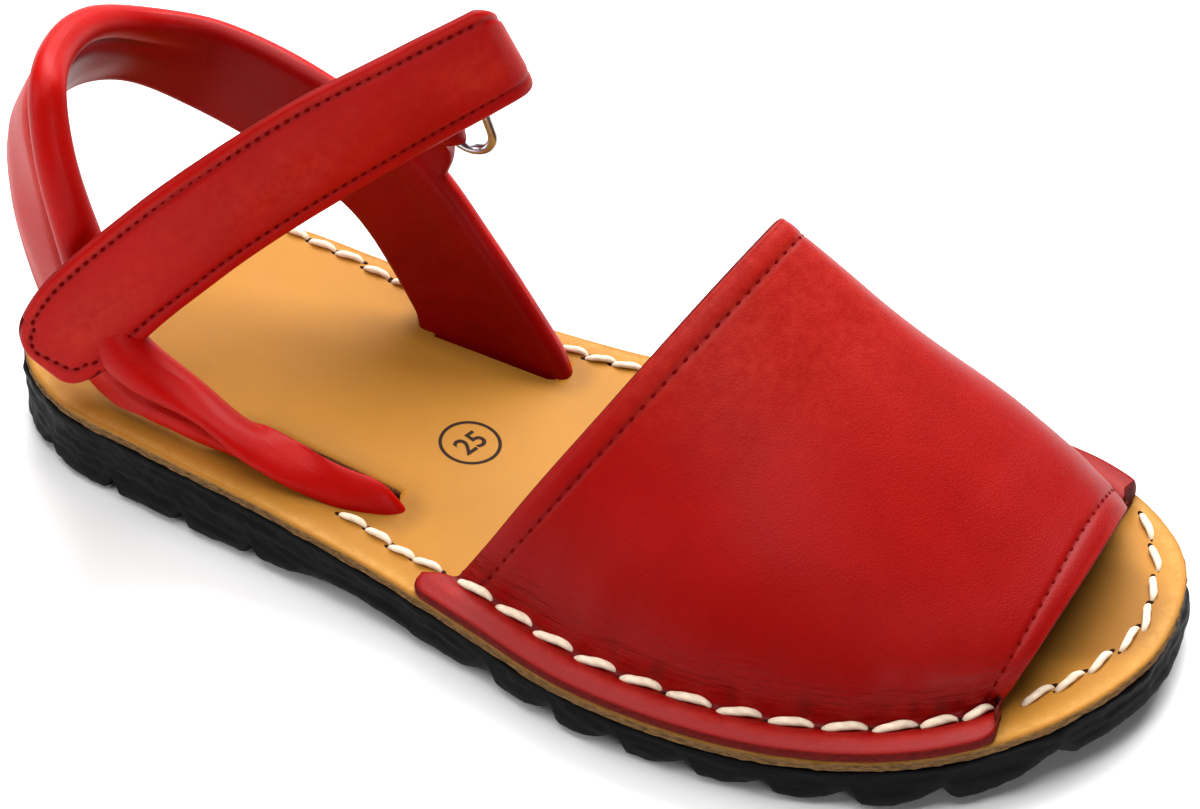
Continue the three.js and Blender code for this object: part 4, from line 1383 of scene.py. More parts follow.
@dataclass
class HeelStrap:
    """The padded strap round the heel, with a round roll along its upper edge."""

    last: Last
    thickness: float = 4.2
    roll: float = 2.45
    slot_fullness: float = 1.35
    fullness_place: float = 33.0
    fullness_reach: float = 27.0
    pad: float = 1.25
    pad_swell: float = 0.95
    pad_thin: float = 0.75
    edge_round: float = 1.3
    trim: tuple = (0.25, 0.75)
    plain: float = 1.75
    end_curl: float = 3.0
    crease_reach: float = 42.0
    outer_relief: tuple = (0.22, 0.24)
    inner_relief: tuple = (0.2, 0.2)
    roll_relief: float = 0.06
    medial_start: float = 0.6
    medial_reach: float = 0.14
    groove_shade: float = 0.9
    crease_shade: float = 0.35
    edge_shade: float = 0.6
    ridge_highlight: float = 0.4
    ridge_zone: tuple = (7.4, 1.4)
    tuck: float = 3.6
    tuck_place: float = 0.275
    tuck_reach: float = 0.13
    tuck_way: tuple = (0.667, 0.385, -0.637)
    foot_middle: tuple = (0.0, 45.0, 20.0)
    steps: int = 300
    sections: tuple = (
        ((0.597, -0.53, 0.016), (0.735, -0.52, 0.009)), ((0.64, -0.61, 0.05), (0.75, -0.59, 0.045)),
        ((0.695, -0.636, 0.092), (0.79, -0.63, 0.045)), ((0.767, -0.635, 0.164), (0.831, -0.65, 0.06)),
        ((0.826, -0.7, 0.312), (0.884, -0.61, 0.142)), ((0.863, -0.662, 0.592), (0.93, -0.532, 0.312)),
        ((0.89, -0.61, 0.832), (0.962, -0.43, 0.5)), ((0.91, -0.506, 0.982), (0.983, -0.3, 0.635)),
        ((0.94, -0.24, 0.965), (0.987, -0.09, 0.672)), ((0.952, 0.03, 0.9), (0.982, 0.08, 0.665)),
        ((0.94, 0.27, 0.8), (0.963, 0.27, 0.61)), ((0.895, 0.42, 0.74), (0.918, 0.4, 0.515)),
        ((0.8, 0.47, 0.651), (0.835, 0.45, 0.41)), ((0.708, 0.475, 0.514), (0.766, 0.465, 0.295)),
        ((0.648, 0.465, 0.315), (0.72, 0.45, 0.13)), ((0.57, 0.45, 0.019), (0.69, 0.41, 0.015)),
    )

    def frames(self) -> Frames:
        """Returns the strap's run, from its lateral slot round the heel to its medial slot."""
        shares = np.linspace(0, 1, self.steps + 1)
        rows = [[self.last.place(*row[k]) for row in self.sections] for k in (0, 1)]
        upper, lower = (Spline(row).at(shares) for row in rows)
        tucked = self.tuck * ease(1 - np.abs(shares - self.tuck_place) / self.tuck_reach)
        centre = (upper + lower) / 2 + tucked[:, None] * np.array(self.tuck_way)
        along = unit(np.gradient(centre, axis=0))
        across = unit(upper - lower)
        out = unit(np.cross(along, across))
        half = self.steps // 2
        out *= np.sign(out[half] @ (centre[half] - np.array(self.foot_middle)))
        less, more = self.trim
        trim = ease((shares - 0.24) / 0.08) * (less + more * hill(shares - 0.42, 0.1))
        width = np.linalg.norm(upper - lower, axis=1) + self.thickness - trim
        return Frames(centre - across * trim[:, None] / 2, along, across, out, width)

    def roll_radius(self, travelled: float) -> float:
        """Returns the roll's radius at a distance from the lateral slot."""
        return self.roll + self.slot_fullness * hill(travelled - self.fullness_place, self.fullness_reach)

    def half_thickness(self, from_top: Array, width: float, radius: float) -> Array:
        """Returns half the strap's thickness at distances below its upper edge."""
        roll = np.sqrt(np.clip(radius**2 - (from_top - radius) ** 2, 0, None))
        from_bottom = width - from_top
        swell = self.pad_swell * ease((from_top - 2 * radius + 0.2) / 3.2)
        pad = self.pad + swell - self.pad_thin * ease((6.5 - from_bottom) / 6.5)
        pad = pad * dome(from_bottom / self.edge_round)
        return np.where(from_top < radius, roll, np.maximum(roll, pad * ease((from_top - 2.0) / 1.6)))

    def section(self, width: float, radius: float) -> Array:
        """Returns distances below the upper edge, close together at both edges."""
        rolled = radius * (1 - np.cos(np.linspace(0, pi, 13)))
        tail = width - self.edge_round * (1 - np.sin(quarter_turn(6)))
        between = np.linspace(rolled[-1] + 0.35, tail[0] - 0.3, 16)
        return np.concatenate([rolled, between, tail])

    def make(self) -> None:
        """Builds and dresses the heel strap, with its ends standing in the slots."""
        run = self.frames()
        soft, folds, roll_soft = Ripples(41, 16.0), Ripples(42, 4.4, 12), Ripples(43, 12.0)
        loops, shade, wear = [], [], []
        for k, (width, place) in enumerate(zip(run.width, run.run)):
            radius = self.roll_radius(place)
            down = self.section(width, radius)
            thick = self.half_thickness(down, width, radius)
            spots = run.centre[k] - down[:, None] * run.across[k]
            near_slot = ease(1 - (run.end - place) / self.crease_reach)
            crease = folds.at(np.column_stack([0 * down + place, down * 0.3, 0 * down])) * near_slot
            body = ease((down - 5.0) / 2.0) * ease((width - down) / 2)
            large, small = self.outer_relief
            outer = thick + body * (large * soft.at(spots) + small * crease)
            outer = outer + self.roll_relief * roll_soft.at(spots) * (down < 5)
            medial = ease((k / len(run.run) - self.medial_start) / self.medial_reach)
            plain = self.plain * dome(np.minimum(down / self.plain, (width - down) / self.edge_round))
            large, small = self.inner_relief
            inner = lerp(thick, plain, medial) + body * (large * soft.at(spots + 40) + small * crease)
            groove = hill(down - 2 * radius - 0.25, 0.75)
            low = ease((down - 5) / 3)
            edge = self.edge_shade * hill(width - down, 0.9)
            painted_shade = self.crease_shade * np.clip(-crease, 0, 1)
            # Painted shade in the groove under the roll, in the creases and along the lower edge; on the
            # inner face, painted shade lower down.
            shade.append(np.max([self.groove_shade * groove, painted_shade, edge], axis=0))
            inner_groove = lerp(self.groove_shade, 0.1, medial) * groove
            shade.append(np.maximum(inner_groove, lerp(0.62 * low, 0.45, medial))[::-1])
            # Painted highlight along the outer face below the roll, and more faintly lower down.
            ridge = self.ridge_highlight * zone(down, self.ridge_zone) + 0.1 * low
            wear += [ridge * ease(1 - near_slot), 0 * down]
            from_middle = width / 2 - down
            across = np.concatenate([from_middle, from_middle[::-1]])[:, None] * run.across[k]
            lift = np.concatenate([outer, -inner[::-1]])[:, None] * run.out[k]
            loops.append(run.centre[k] + across + lift)
        loops = np.stack(loops)
        from_end = np.minimum(run.run, run.end - run.run)
        curl = self.end_curl * np.clip(1 - from_end / self.end_curl, 0, 1) ** 2
        loops[:, :, 2] -= curl[:, None]
        solid = Solid(self.last.shift)
        solid.add_tube(loops, shade=np.concatenate(shade), wear=np.concatenate(wear))
        made = solid.piece("heel_strap", STRAP_RED.build(), Slot.UPPER, 70)
        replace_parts(made, "heel_and_ankle_straps")


@dataclass
class AnkleStrap:
    """The flat strap over the instep: an outer layer, a fold at the ring and an inner layer."""

    last: Last
    width: float = 17.0
    thickness: float = 2.1
    inner_width: float = 10.0
    inner_share: float = 0.86
    overlap: float = 0.3
    eye: float = 2.2
    eye_length: float = 6.0
    eye_closing: float = 6.0
    steps: int = 240
    crowding: float = 0.75
    fold_steps: int = 24
    section_points: int = 41
    back_thickness: float = 1.02
    flesh: float = 0.6
    upper_seam: float = 1.65
    lower_seam: float = 2.45
    seam_pitch: float = 1.55
    seam_step: float = 0.5
    line: tuple = (
        (0.634, 0.425, 1.019, 0.97), (0.672, 0.17, 0.948, 1.01), (0.728, -0.17, 0.81, 1.07),
        (0.79, -0.47, 0.601, 1.06), (0.853, -0.7, 0.36, 1.02), (0.881, -0.768, 0.22, 1.0),
    )
    down_way: tuple = (0.3, -0.29, -0.907)
    drops: tuple = (0.6, 1.15, 0.6, -0.5, -0.6, -0.35)
    end_radius: float = 4.6
    end_reach: tuple = (2.6, 0.25, 14.0)
    end_taper: float = 0.2
    taper_length: float = 11.0
    over: float = 1.7
    over_reach: float = 24.0
    over_way: tuple = (-0.667, -0.385, 0.637)
    fold_slant: float = 2.6
    fold_back: float = 0.35
    fold_length: float = 16.0
    bow_depth: float = 0.45

    @property
    def fold_radius(self) -> float:
        """Returns the radius that the strap's middle folds round."""
        return (self.eye + self.thickness) / 2

    def frames(self) -> Frames:
        """Returns the outer layer's run from the fold to the free end."""
        even = np.linspace(0, 1, self.steps + 1)
        shares = lerp(even, np.sin(even * pi / 2), self.crowding)
        curve = Spline([self.last.place(*row[:3]) for row in self.line])
        centre = curve.at(shares)
        along = unit(curve.at(shares + 1e-3) - curve.at(shares - 1e-3))
        down = unit(np.array(self.down_way))
        across = unit(down - along * (along @ down)[:, None])
        out = unit(np.cross(along, across))
        widths = Spline([(row[3] * self.width, 0.0) for row in self.line]).at(shares)[:, 0]
        run = run_length(centre)
        over = self.over * ease(1 - (run[-1] - run) / self.over_reach)
        drops = Spline([(drop, 0.0) for drop in self.drops]).at(shares)[:, :1]
        centre = centre + across * drops + over[:, None] * np.array(self.over_way)
        return Frames(centre, along, across, out, widths)

    def slant(self, points: Array, run: Frames) -> Array:
        """Returns points with the fold and the free end slanted, each further out at its lower corner."""
        apart = points - run.centre[0]
        down = np.clip((apart @ run.across[0] + self.width / 2) / self.width, 0, 1)
        near = ease(1 - (apart @ run.along[0]) / self.fold_length)
        beyond, more, reach = self.end_reach
        tip = points - run.centre[-1]
        end = (beyond + more * (tip @ run.across[-1])) * ease(1 + (tip @ run.along[-1]) / reach)
        points = points + end[..., None] * run.along[-1]
        return points - ((self.fold_slant * down - self.fold_back) * near)[..., None] * run.along[0]

    def half_widths(self, run: Frames) -> Array:
        """Returns half the outer layer's width at each step, rounded at the free end."""
        to_end = run.end - run.run
        taper = 1 - self.end_taper * ease(1 - to_end / self.taper_length)
        return run.width / 2 * taper - self.end_radius * (1 - dome(to_end / self.end_radius))

    def inset_profile(self, inset: Array, seam: Array) -> Array:
        """Returns half the outer layer's thickness at a distance inside its outline.

        Args:
            inset: How far inside the outline each point is.
            seam: How far inside the outline the seam beside it runs.

        Returns:
            The distance from the layer's middle to its face.
        """
        face = 0.78 + 0.27 * ease(inset / (seam + 0.8)) - 0.24 * hill(inset - seam, 0.42)
        return dome(inset / 0.75) * face

    def layer(self, half: float, to_end: float) -> tuple[Array, Array, dict[str, Array]]:
        """Returns one section of the strap: a face with its seams' grooves, and a back.

        Args:
            half: Half the strap's width here.
            to_end: How far the section lies from the free end.

        Returns:
            The section's places across and out of the strap, and its marks.
        """
        even = np.linspace(-1, 1, self.section_points)
        across = np.sign(even) * (1 - (1 - np.abs(even)) ** 1.7) * half
        inset = half - np.abs(across)
        if to_end < self.end_radius:
            past = np.abs(across) - (self.width / 2 * (1 - self.end_taper) - self.end_radius)
            corner = self.end_radius - np.hypot(self.end_radius - to_end, np.maximum(past, 0))
            inset = np.minimum(inset, np.maximum(corner, 0))
        seam = lerp(self.upper_seam, self.lower_seam, ease((across + 4) / 8))
        thick = self.inset_profile(inset, seam)
        track, rim, zero = hill(inset - seam, 0.4), ease(1 - inset / 0.5), 0 * across
        # Painted highlight near one edge and over the middle of the face.
        lit_and_worn = 0.25 * hill(inset - 1.0, 0.5) * (across < 0) + 0.2 * ease((inset - seam) / 4)
        marks = {
            # Painted shade along the seam's track, at the rim, and over the whole back.
            "shade": np.concatenate([np.maximum(0.5 * track, 0.4 * rim), zero + 0.5]),
            "wear": np.concatenate([lit_and_worn, zero]),
            "back": np.concatenate([zero, zero + self.flesh]),
        }
        out = np.concatenate([thick, -np.minimum(thick, self.back_thickness)[::-1]])
        return np.concatenate([across, across[::-1]]), out, marks

    def sheen(self, across: Array, travelled: float, end: float) -> Array:
        """Returns the painted highlights on the face, as bands: near the fold, half way and at the free
        end.
        """
        bands = ((4.5, 4.0, 0.32), (33.0, 9.0, 0.2), (end - 9.0, 8.0, 0.26))
        face = ease(1 - np.abs(across - 1.0) / 6.0)
        place = travelled + 0.5 * across
        return face * sum(amount * hill(place - at, reach) for at, reach, amount in bands)

    def bow(self, across: Array, travelled: Array, end: float) -> Array:
        """Returns how far the face bends towards the foot, beside the middle of the strap."""
        bent = ease((end - travelled) / 20) * ease(travelled / 12)
        return -self.bow_depth * (across / (self.width / 2)) ** 2 * bent

    def courses(self, run: Frames) -> list[tuple]:
        """Lists the strap's sections, from the free end over the fold to the inner layer's end.

        Args:
            run: The outer layer's run.

        Returns:
            For each section its middle, its ways across and out, its width, how far it lies
            from the fold, how much painted shade it has, and whether it belongs to the outer layer.
        """
        half = self.half_widths(run)
        found = []
        for k in range(len(half) - 1, -1, -1):
            found.append((run.centre[k], run.across[k], run.out[k], 2 * half[k], run.run[k], 0.0, 1.0))
        across, out, along, full = run.across[0], run.out[0], run.along[0], run.width[0]
        for share in np.linspace(0, 1, self.fold_steps + 1)[1:]:
            turn = share * pi
            facing = out * cos(turn) - along * sin(turn)
            width = lerp(full, self.inner_width, ease(share))
            middle = run.centre[0] - out * self.fold_radius + facing * self.fold_radius
            middle = middle + across * (full - width) / 2
            found.append((middle, across, facing, width, 0.0, 0.5 * share, 0.0))
        for k in range(1, int(np.searchsorted(run.run, self.inner_share * run.end, "right"))):
            closed = ease((run.run[k] - self.eye_length) / self.eye_closing)
            inward = lerp(2 * self.fold_radius, self.thickness - self.overlap, closed)
            lower = run.across[k] * (run.width[k] - self.inner_width) / 2
            middle = run.centre[k] - run.out[k] * inward + lower
            found.append((middle, run.across[k], -run.out[k], self.inner_width, 0.0, 0.6, 0.0))
        return found

    def make(self) -> None:
        """Builds and dresses the strap as one band: free end, outer layer, fold and inner layer."""
        run = self.frames()
        soft, fine = Ripples(51, 22.0), Ripples(52, 5.0)
        loops, marks = [], {"shade": [], "wear": [], "back": []}
        for middle, across_way, out_way, width, place, dark, outer in self.courses(run):
            across, out, found = self.layer(width / 2, run.end - place)
            spots = middle + across[:, None] * across_way
            uneven = 0.14 * soft.at(spots) + 0.04 * fine.at(spots)
            uneven = outer * uneven * (out > 0) * ease(np.abs(out) - 0.2)
            out = out + uneven + outer * self.bow(across, place, run.end)
            loops.append(spots + out[:, None] * out_way)
            # Painted shade on the fold and the inner layer; painted highlights in bands on the outer face.
            found["shade"] = np.maximum(found["shade"], dark)
            found["wear"] = found["wear"] + outer * self.sheen(across, place, run.end) * (out > 0)
            for name, values in found.items():
                marks[name].append(values)
        solid = Solid(self.last.shift)
        dressed = {name: np.concatenate(values) for name, values in marks.items()}
        solid.add_tube(self.slant(np.stack(loops), run), **dressed)
        made = solid.piece("ankle_strap", STRAP_RED.build(), Slot.UPPER, 75)
        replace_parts(made, "heel_and_ankle_straps")

    def seam_line(self) -> tuple[Array, Array]:
        """Returns the seam that runs down one side, round the free end and back, and its ways out."""
        run = self.frames()
        half = self.half_widths(run)
        corner = run.end - self.end_radius
        side = self.width / 2 * (1 - self.end_taper) - self.end_radius
        places = np.arange(0.6, corner, self.seam_step)
        spots = [(place, self.upper_seam - np.interp(place, run.run, half)) for place in places]
        for lowest, inset in ((-1, self.upper_seam), (1, self.lower_seam)):
            reach = self.end_radius - inset
            for turn in quarter_turn(9)[::lowest]:
                spots.append((corner + reach * cos(turn), lowest * (side + reach * sin(turn))))
        spots += [(place, np.interp(place, run.run, half) - self.lower_seam) for place in places[::-1]]
        spots = np.array(spots)
        rows = (run.centre, run.across, run.out)
        centre, across, out = (points_at(row, run.run, spots[:, 0]) for row in rows)
        lift = self.bow(spots[:, 1], spots[:, 0], run.end) + 0.8
        return self.slant(centre + across * spots[:, 1:] + out * lift[:, None], run), unit(out)


@dataclass
class RingAndTab:
    """The metal ring in the strap's fold, and the leather tab that holds its other bar."""

    last: Last
    strap: AnkleStrap
    heel: HeelStrap
    wire: float = 1.6
    wire_points: int = 20
    bend_points: int = 33
    inner_width: float = 5.6
    play: float = 3.9
    setback: float = 2.7
    lean: float = 52.0
    root_width: float = 10.0
    leather: float = 1.1
    nose_steps: int = 9
    strip_steps: int = 40
    tab_points: int = 40
    tab_shade: float = 0.45
    root: tuple = (0.712, 0.475, 0.56)
    root_sections: tuple = (12, 14)
    outward: tuple = (1.0, 0.0, 0.0)

    def __post_init__(self) -> None:
        """Works out the ring's place from the fold of the ankle strap."""
        run = self.strap.frames()
        centre, along, down, out = run.centre[0], run.along[0], run.across[0], run.out[0]
        lean = radians(self.lean)
        drop = (run.width[0] - self.strap.inner_width) / 2 + self.play - self.last.clearance
        self.long = down
        self.short = along * cos(lean) - out * sin(lean)
        self.out = unit(np.cross(self.long, self.short))
        self.bar = centre - out * self.strap.fold_radius + along * self.setback + down * drop
        self.bar_gap = self.inner_width + self.wire
        self.length = self.strap.inner_width + 2 * self.play

    def make_ring(self) -> None:
        """Builds and dresses the ring: a closed loop of round wire."""
        across = self.bar_gap / 2
        centre = self.bar + self.short * across
        straight = (self.length + self.wire) / 2 - across
        spine = []
        for end in (1, -1):
            for turn in np.linspace(-pi / 2, pi / 2, self.bend_points):
                lift, side = end * (straight + across * cos(turn)), end * across * sin(turn)
                spine.append(centre + self.long * lift + self.short * side)
        spine = np.array(spine)
        ways = unit(np.roll(spine, -1, axis=0) - np.roll(spine, 1, axis=0))
        turns = full_turn(self.wire_points)
        loops = []
        for point, way in zip(spine, ways):
            side = unit(np.cross(way, self.out))
            round_way = np.cos(turns)[:, None] * side + np.sin(turns)[:, None] * self.out
            loops.append(point + round_way * self.wire / 2)
        rows, columns = len(spine), len(turns)
        solid = Solid(self.last.shift)
        solid.add(np.stack(loops), grid_faces(rows + 1, columns, wrap=True) % (rows * columns))
        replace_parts(solid.piece("ring_wire", STEEL.build(), Slot.STEEL, 80), "ring")

    def make_tab(self) -> None:
        """Builds and dresses the tab: a strip from the heel strap's roll round the ring's bar."""
        width = 2 * self.play - 3 * self.last.clearance
        thick = self.wire + 2 * self.last.clearance + 2 * self.leather
        drop = (self.length - width) / 2 - self.last.clearance
        second = self.bar + self.short * self.bar_gap + self.long * drop
        high, low = (self.last.place(*self.heel.sections[number][0]) for number in self.root_sections)
        edge, root, outward = unit(low - high), self.last.place(*self.root), np.array(self.outward)
        out = self.out * np.sign(self.out @ outward)
        strip = []
        for turn in quarter_turn(self.nose_steps):
            middle = second - self.short * thick / 2 * cos(turn)
            strip.append((middle, width, max(thick * sin(turn), 0.3), self.long, out))
        nearer, farther = lerp(second, root, 0.3) + outward, lerp(second, root, 0.7) + outward * 0.8
        path = Spline([second, nearer, farther, root - [0.0, 0.0, 1.5]])
        shares = np.linspace(0, 1, self.strip_steps)[1:]
        for share, middle in zip(shares, path.at(shares)):
            wide = lerp(width, self.root_width, ease(share * 1.5))
            thin = lerp(thick, 2 * self.leather, ease(share * 2.2))
            turned = [unit(lerp(a, b, ease(share))) for a, b in ((self.long, edge), (out, outward))]
            strip.append((middle, wide, thin, *turned))
        turns = full_turn(self.tab_points)
        sideways = (np.sign(np.cos(turns)) * np.abs(np.cos(turns)) ** 0.45)[:, None]
        upwards = (np.sign(np.sin(turns)) * np.abs(np.sin(turns)) ** 0.6)[:, None]
        loops = [
            middle + sideways * wide / 2 * wide_way + upwards * thin / 2 * thick_way
            for middle, wide, thin, wide_way, thick_way in strip
        ]
        solid = Solid(self.last.shift)
        solid.add_tube(np.stack(loops), shade=self.tab_shade)
        made = solid.piece("ring_tab", STRAP_RED.build(), Slot.UPPER, 75)
        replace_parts(made, "heel_and_ankle_straps")


@dataclass
class Stitching:
    """The hand stitches along the sole's edge and the machine seams in the red leather."""

    last: Last
    bed: Footbed
    vamp: Vamp
    strap: AnkleStrap
    thread: float = 0.62
    bed_thread: float = 0.52
    flange_stitch: float = 6.7
    bed_stitch: float = 4.9
    long_stitch: float = 1.2
    short_pitch: float = 0.76
    flange_counts: tuple = (15, 13)
    seam_end: float = 2.0
    twist_length: float = 9.0
    twist_depth: float = 0.035
    twist_shade: float = 0.12
    end_shade: float = 0.6
    rise: float = 0.5
    end_dip: float = 0.35
    end_thinning: float = 0.62
    sway: float = 0.12
    slant: float = 0.1
    slant_swing: float = 0.08
    flatness: tuple = (1.05, 0.85)
    stitch_steps: int = 19
    stitch_points: int = 14
    dimple_points: int = 12
    dimple_levels: tuple = (0.0, 0.45, 0.8, 1.0)
    hole: tuple = (1.3, 0.8, 0.1)
    vamp_dimple: tuple = (0.95, 0.55, 0.16)
    strap_dimple: tuple = (0.85, 0.55, 0.16)
    waist: tuple = ((-25.6, 20.2), (-26.2, 15.7), (-27.1, 11.4), (-27.2, 7.2))
    toe: tuple = (
        (-8.9, -75.4), (-4.6, -78.0), (0.5, -80.0), (6.3, -81.5), (11.3, -81.7), (17.2, -80.0),
        (23.3, -77.6), (29.2, -73.7),
    )
    far: tuple = (
        (23.7, 5.1), (22.7, 8.9), (22.1, 13.1), (21.6, 17.6), (21.2, 22.2), (20.9, 26.8), (20.8, 31.4),
        (20.8, 36.0), (20.8, 40.7), (20.9, 45.9), (21.8, 51.2), (22.1, 56.1), (22.6, 60.9),
    )
    heel: tuple = (
        (21.6, 65.7), (19.6, 70.3), (16.6, 74.4), (12.5, 77.7), (7.6, 80.0), (2.3, 81.2), (-3.1, 81.2),
        (-8.4, 79.8), (-13.0, 77.1), (-16.7, 73.4), (-19.4, 68.9), (-21.2, 64.0),
    )

    def __post_init__(self) -> None:
        """Starts the two meshes that the hand stitches fill."""
        self.threads, self.holes = Solid(self.last.shift), Solid(self.last.shift)

    def stitch(self, centre: Array, along: Array, up: Array, size: tuple, turn: float) -> None:
        """Adds one hand stitch, and dark domes of painted shade for the holes at its ends.

        Args:
            centre: The stitch's middle on the leather.
            along: The way it runs.
            up: The way out of the leather.
            size: How long it is, and the thread's radius in its middle.
            turn: Where its twist starts, in turns, which also sets how far it slants.
        """
        length, thread = size
        side = unit(np.cross(up, along))
        along = unit(along + side * (self.slant + self.slant_swing * sin(turn * 12.9)))
        side = unit(np.cross(up, along))
        path, turns = np.linspace(-1, 1, self.stitch_steps)[:, None], full_turn(self.stitch_points)
        lift = self.rise * (1 - np.abs(path) ** 2.4) - self.end_dip * np.abs(path) ** 8
        thin = 1 - self.end_thinning * np.abs(path) ** 3.2
        radius = thread * thin * (1 + 0.03 * np.sin(path * 5 + turn * 9))
        twist = np.cos(2 * (turns - 2 * pi * (turn + path * length / self.twist_length)))
        strand = radius * (1 + self.twist_depth * twist)
        middle = centre + along * path * length / 2 + up * lift + side * self.sway * np.sin(path * pi)
        wide, high = self.flatness
        across = (np.cos(turns) * strand * wide)[..., None] * side
        loops = middle[:, None] + across + (np.sin(turns) * strand * high)[..., None] * up
        shade = self.twist_shade * (1 - twist) / 2 + self.end_shade * np.abs(path) ** 9
        self.threads.add_tube(loops, shade=np.clip(shade, 0, 1))
        for end in (-1, 1):
            spot = centre + along * end * (length / 2 - 0.05) + side * 0.1 * end
            self.dimple(self.holes, spot, along, up, self.hole)

    def dimple(self, solid: Solid, centre: Array, along: Array, up: Array, size: tuple) -> None:
        """Adds one dark oval dome, so low that it reads as a dimple.

        Args:
            solid: Where it goes.
            centre: Its middle on the leather.
            along: The way it runs.
            up: The way out of the leather.
            size: Its length, its width and how high its middle stands.
        """
        length, width, rise = size
        side = unit(np.cross(up, along))
        turns = full_turn(self.dimple_points)[:, None]
        oval = np.cos(turns) * along * length / 2 + np.sin(turns) * side * width / 2
        loops = []
        for share in self.dimple_levels:
            turn = share * pi / 2
            loops.append(centre + up * rise * (sin(turn) - 0.5) + oval * (cos(turn) + 0.02))
        solid.add_tube(np.stack(loops))

    def stitch_flange(self, side: Side, count: int, draw: np.random.RandomState) -> None:
        """Adds the stitches of one flange, shorter towards the toe."""
        line, ways = self.vamp.seam(side)
        run = run_length(line)
        pitch = self.vamp.stitch_pitch
        place = np.array([self.vamp.seam_start - pitch])
        for number in range(count):
            shorter = lerp(1.0, self.short_pitch, ease((number - 8) / 3.0))
            place = place + pitch * shorter
            if place[0] > run[-1] - self.seam_end:
                break
            here = points_at(line, run, place)[0]
            way = unit(points_at(line, run, place + 1)[0] - points_at(line, run, place - 1)[0])
            up = unit(points_at(ways, run, place)[0] + np.array([0.0, 0.0, 1.2]))
            length = self.flange_stitch * shorter * draw.uniform(0.93, 1.04)
            self.stitch(here + up * 0.1, way, up, (length, self.thread), draw.uniform())

    def stitch_bed(self, row: tuple, size: float, draw: np.random.RandomState) -> None:
        """Adds one row of stitches on the bare footbed, each at its own place."""
        spots = np.array(row)
        ways = unit(np.gradient(spots, axis=0))
        for spot, way, height in zip(spots, ways, self.bed.surface(spots)):
            slope = self.bed.surface((spot + way)[None])[0] - height
            along = unit(np.array([*way, slope]))
            up = unit(np.cross(unit(np.cross(along, [0.0, 0.0, 1.0])), along))
            length = size * self.bed_stitch * draw.uniform(0.92, 1.06)
            centre = np.array([*spot, height])
            self.stitch(centre, along, up, (length, self.bed_thread), draw.uniform())

    def make_hand_stitches(self) -> None:
        """Builds the cream stitches on the flanges and on the bare footbed."""
        draw = np.random.RandomState(7)
        for side, count in zip(Side, self.flange_counts):
            self.stitch_flange(side, count, draw)
        for row in (self.waist, self.toe, self.far, self.heel):
            self.stitch_bed(row, self.long_stitch if row is self.toe else 1.0, draw)
        self.threads.piece("cream_stitches", CREAM_THREAD.build(), Slot.UPPER, 80)
        self.holes.piece("stitch_hole_shades", HOLE_SHADE.build(), Slot.FOOTBED, 80)

    def make_machine_seams(self) -> None:
        """Builds the dark dimples of the machine seams beside the leather's edges."""
        seams = Solid(self.last.shift)
        vamp, strap = self.vamp, self.strap
        seam_lines = (vamp.machine_line("back"), vamp.machine_line("front"), strap.seam_line())
        pitches = (vamp.machine_pitch, vamp.machine_pitch, strap.seam_pitch)
        sizes = (self.vamp_dimple, self.vamp_dimple, self.strap_dimple)
        for (line, ways), pitch, size in zip(seam_lines, pitches, sizes):
            run = run_length(line)
            places = np.arange(0.8, run[-1] - 0.5, pitch)
            middles, ups = points_at(line, run, places), unit(points_at(ways, run, places))
            alongs = unit(points_at(line, run, places + 0.6) - points_at(line, run, places - 0.6))
            for middle, along, up in zip(middles, alongs, ups):
                self.dimple(seams, middle + up * 0.05, along, up, size)
        seams.piece("machine_stitches", RED_THREAD.build(), Slot.UPPER, 80)


@dataclass
class SizeMark:
    """The plain size number printed in a ring on the footbed."""

    last: Last
    bed: Footbed
    number: str = "25"
    centre: tuple = (-2.9, 15.3)
    radius: float = 4.2
    ring_points: int = 96
    stroke: float = 0.5
    height: float = 4.6
    boldness: float = 0.07
    proud: float = 0.045
    turn: float = -12.5

    def make(self) -> None:
        """Builds the printed number and its ring, laid on the footbed."""
        solid = Solid(self.last.shift)
        turns = full_turn(self.ring_points)
        circle = np.column_stack([np.cos(turns), np.sin(turns)])
        half = self.stroke / 2
        rim = np.stack([circle * (self.radius - half), circle * (self.radius + half)], axis=1)
        faces = grid_faces(self.ring_points + 1, 2) % (2 * self.ring_points)
        self.lay(solid, rim.reshape(-1, 2), faces)
        curve = bpy.data.curves.new("size_number", "FONT")
        curve.body, curve.size, curve.offset = self.number, self.height, self.boldness
        curve.align_x, curve.align_y = "CENTER", "CENTER"
        holder = bpy.data.objects.new("size_number", curve)
        bpy.context.scene.collection.objects.link(holder)
        flat = bpy.data.meshes.new_from_object(holder.evaluated_get(bpy.context.evaluated_depsgraph_get()))
        points = np.array([corner.co[:2] for corner in flat.vertices])
        points = points - (points.min(axis=0) + points.max(axis=0)) / 2
        self.lay(solid, points, [list(face.vertices) for face in flat.polygons])
        bpy.data.objects.remove(holder)
        bpy.data.curves.remove(curve)
        bpy.data.meshes.remove(flat)
        solid.piece("size_mark", PRINT.build(), Slot.FOOTBED, 80)

    def lay(self, solid: Solid, flat: Array, faces: Sequence[Sequence[int]]) -> None:
        """Lays flat points on the footbed, just proud of it, as a thin printed skin."""
        turn = radians(self.turn)
        ways = np.array([[cos(turn), sin(turn)], [-sin(turn), cos(turn)]])
        spots = flat @ ways + np.array(self.centre)
        solid.add(np.column_stack([spots, self.bed.surface(spots) + self.proud]), faces)


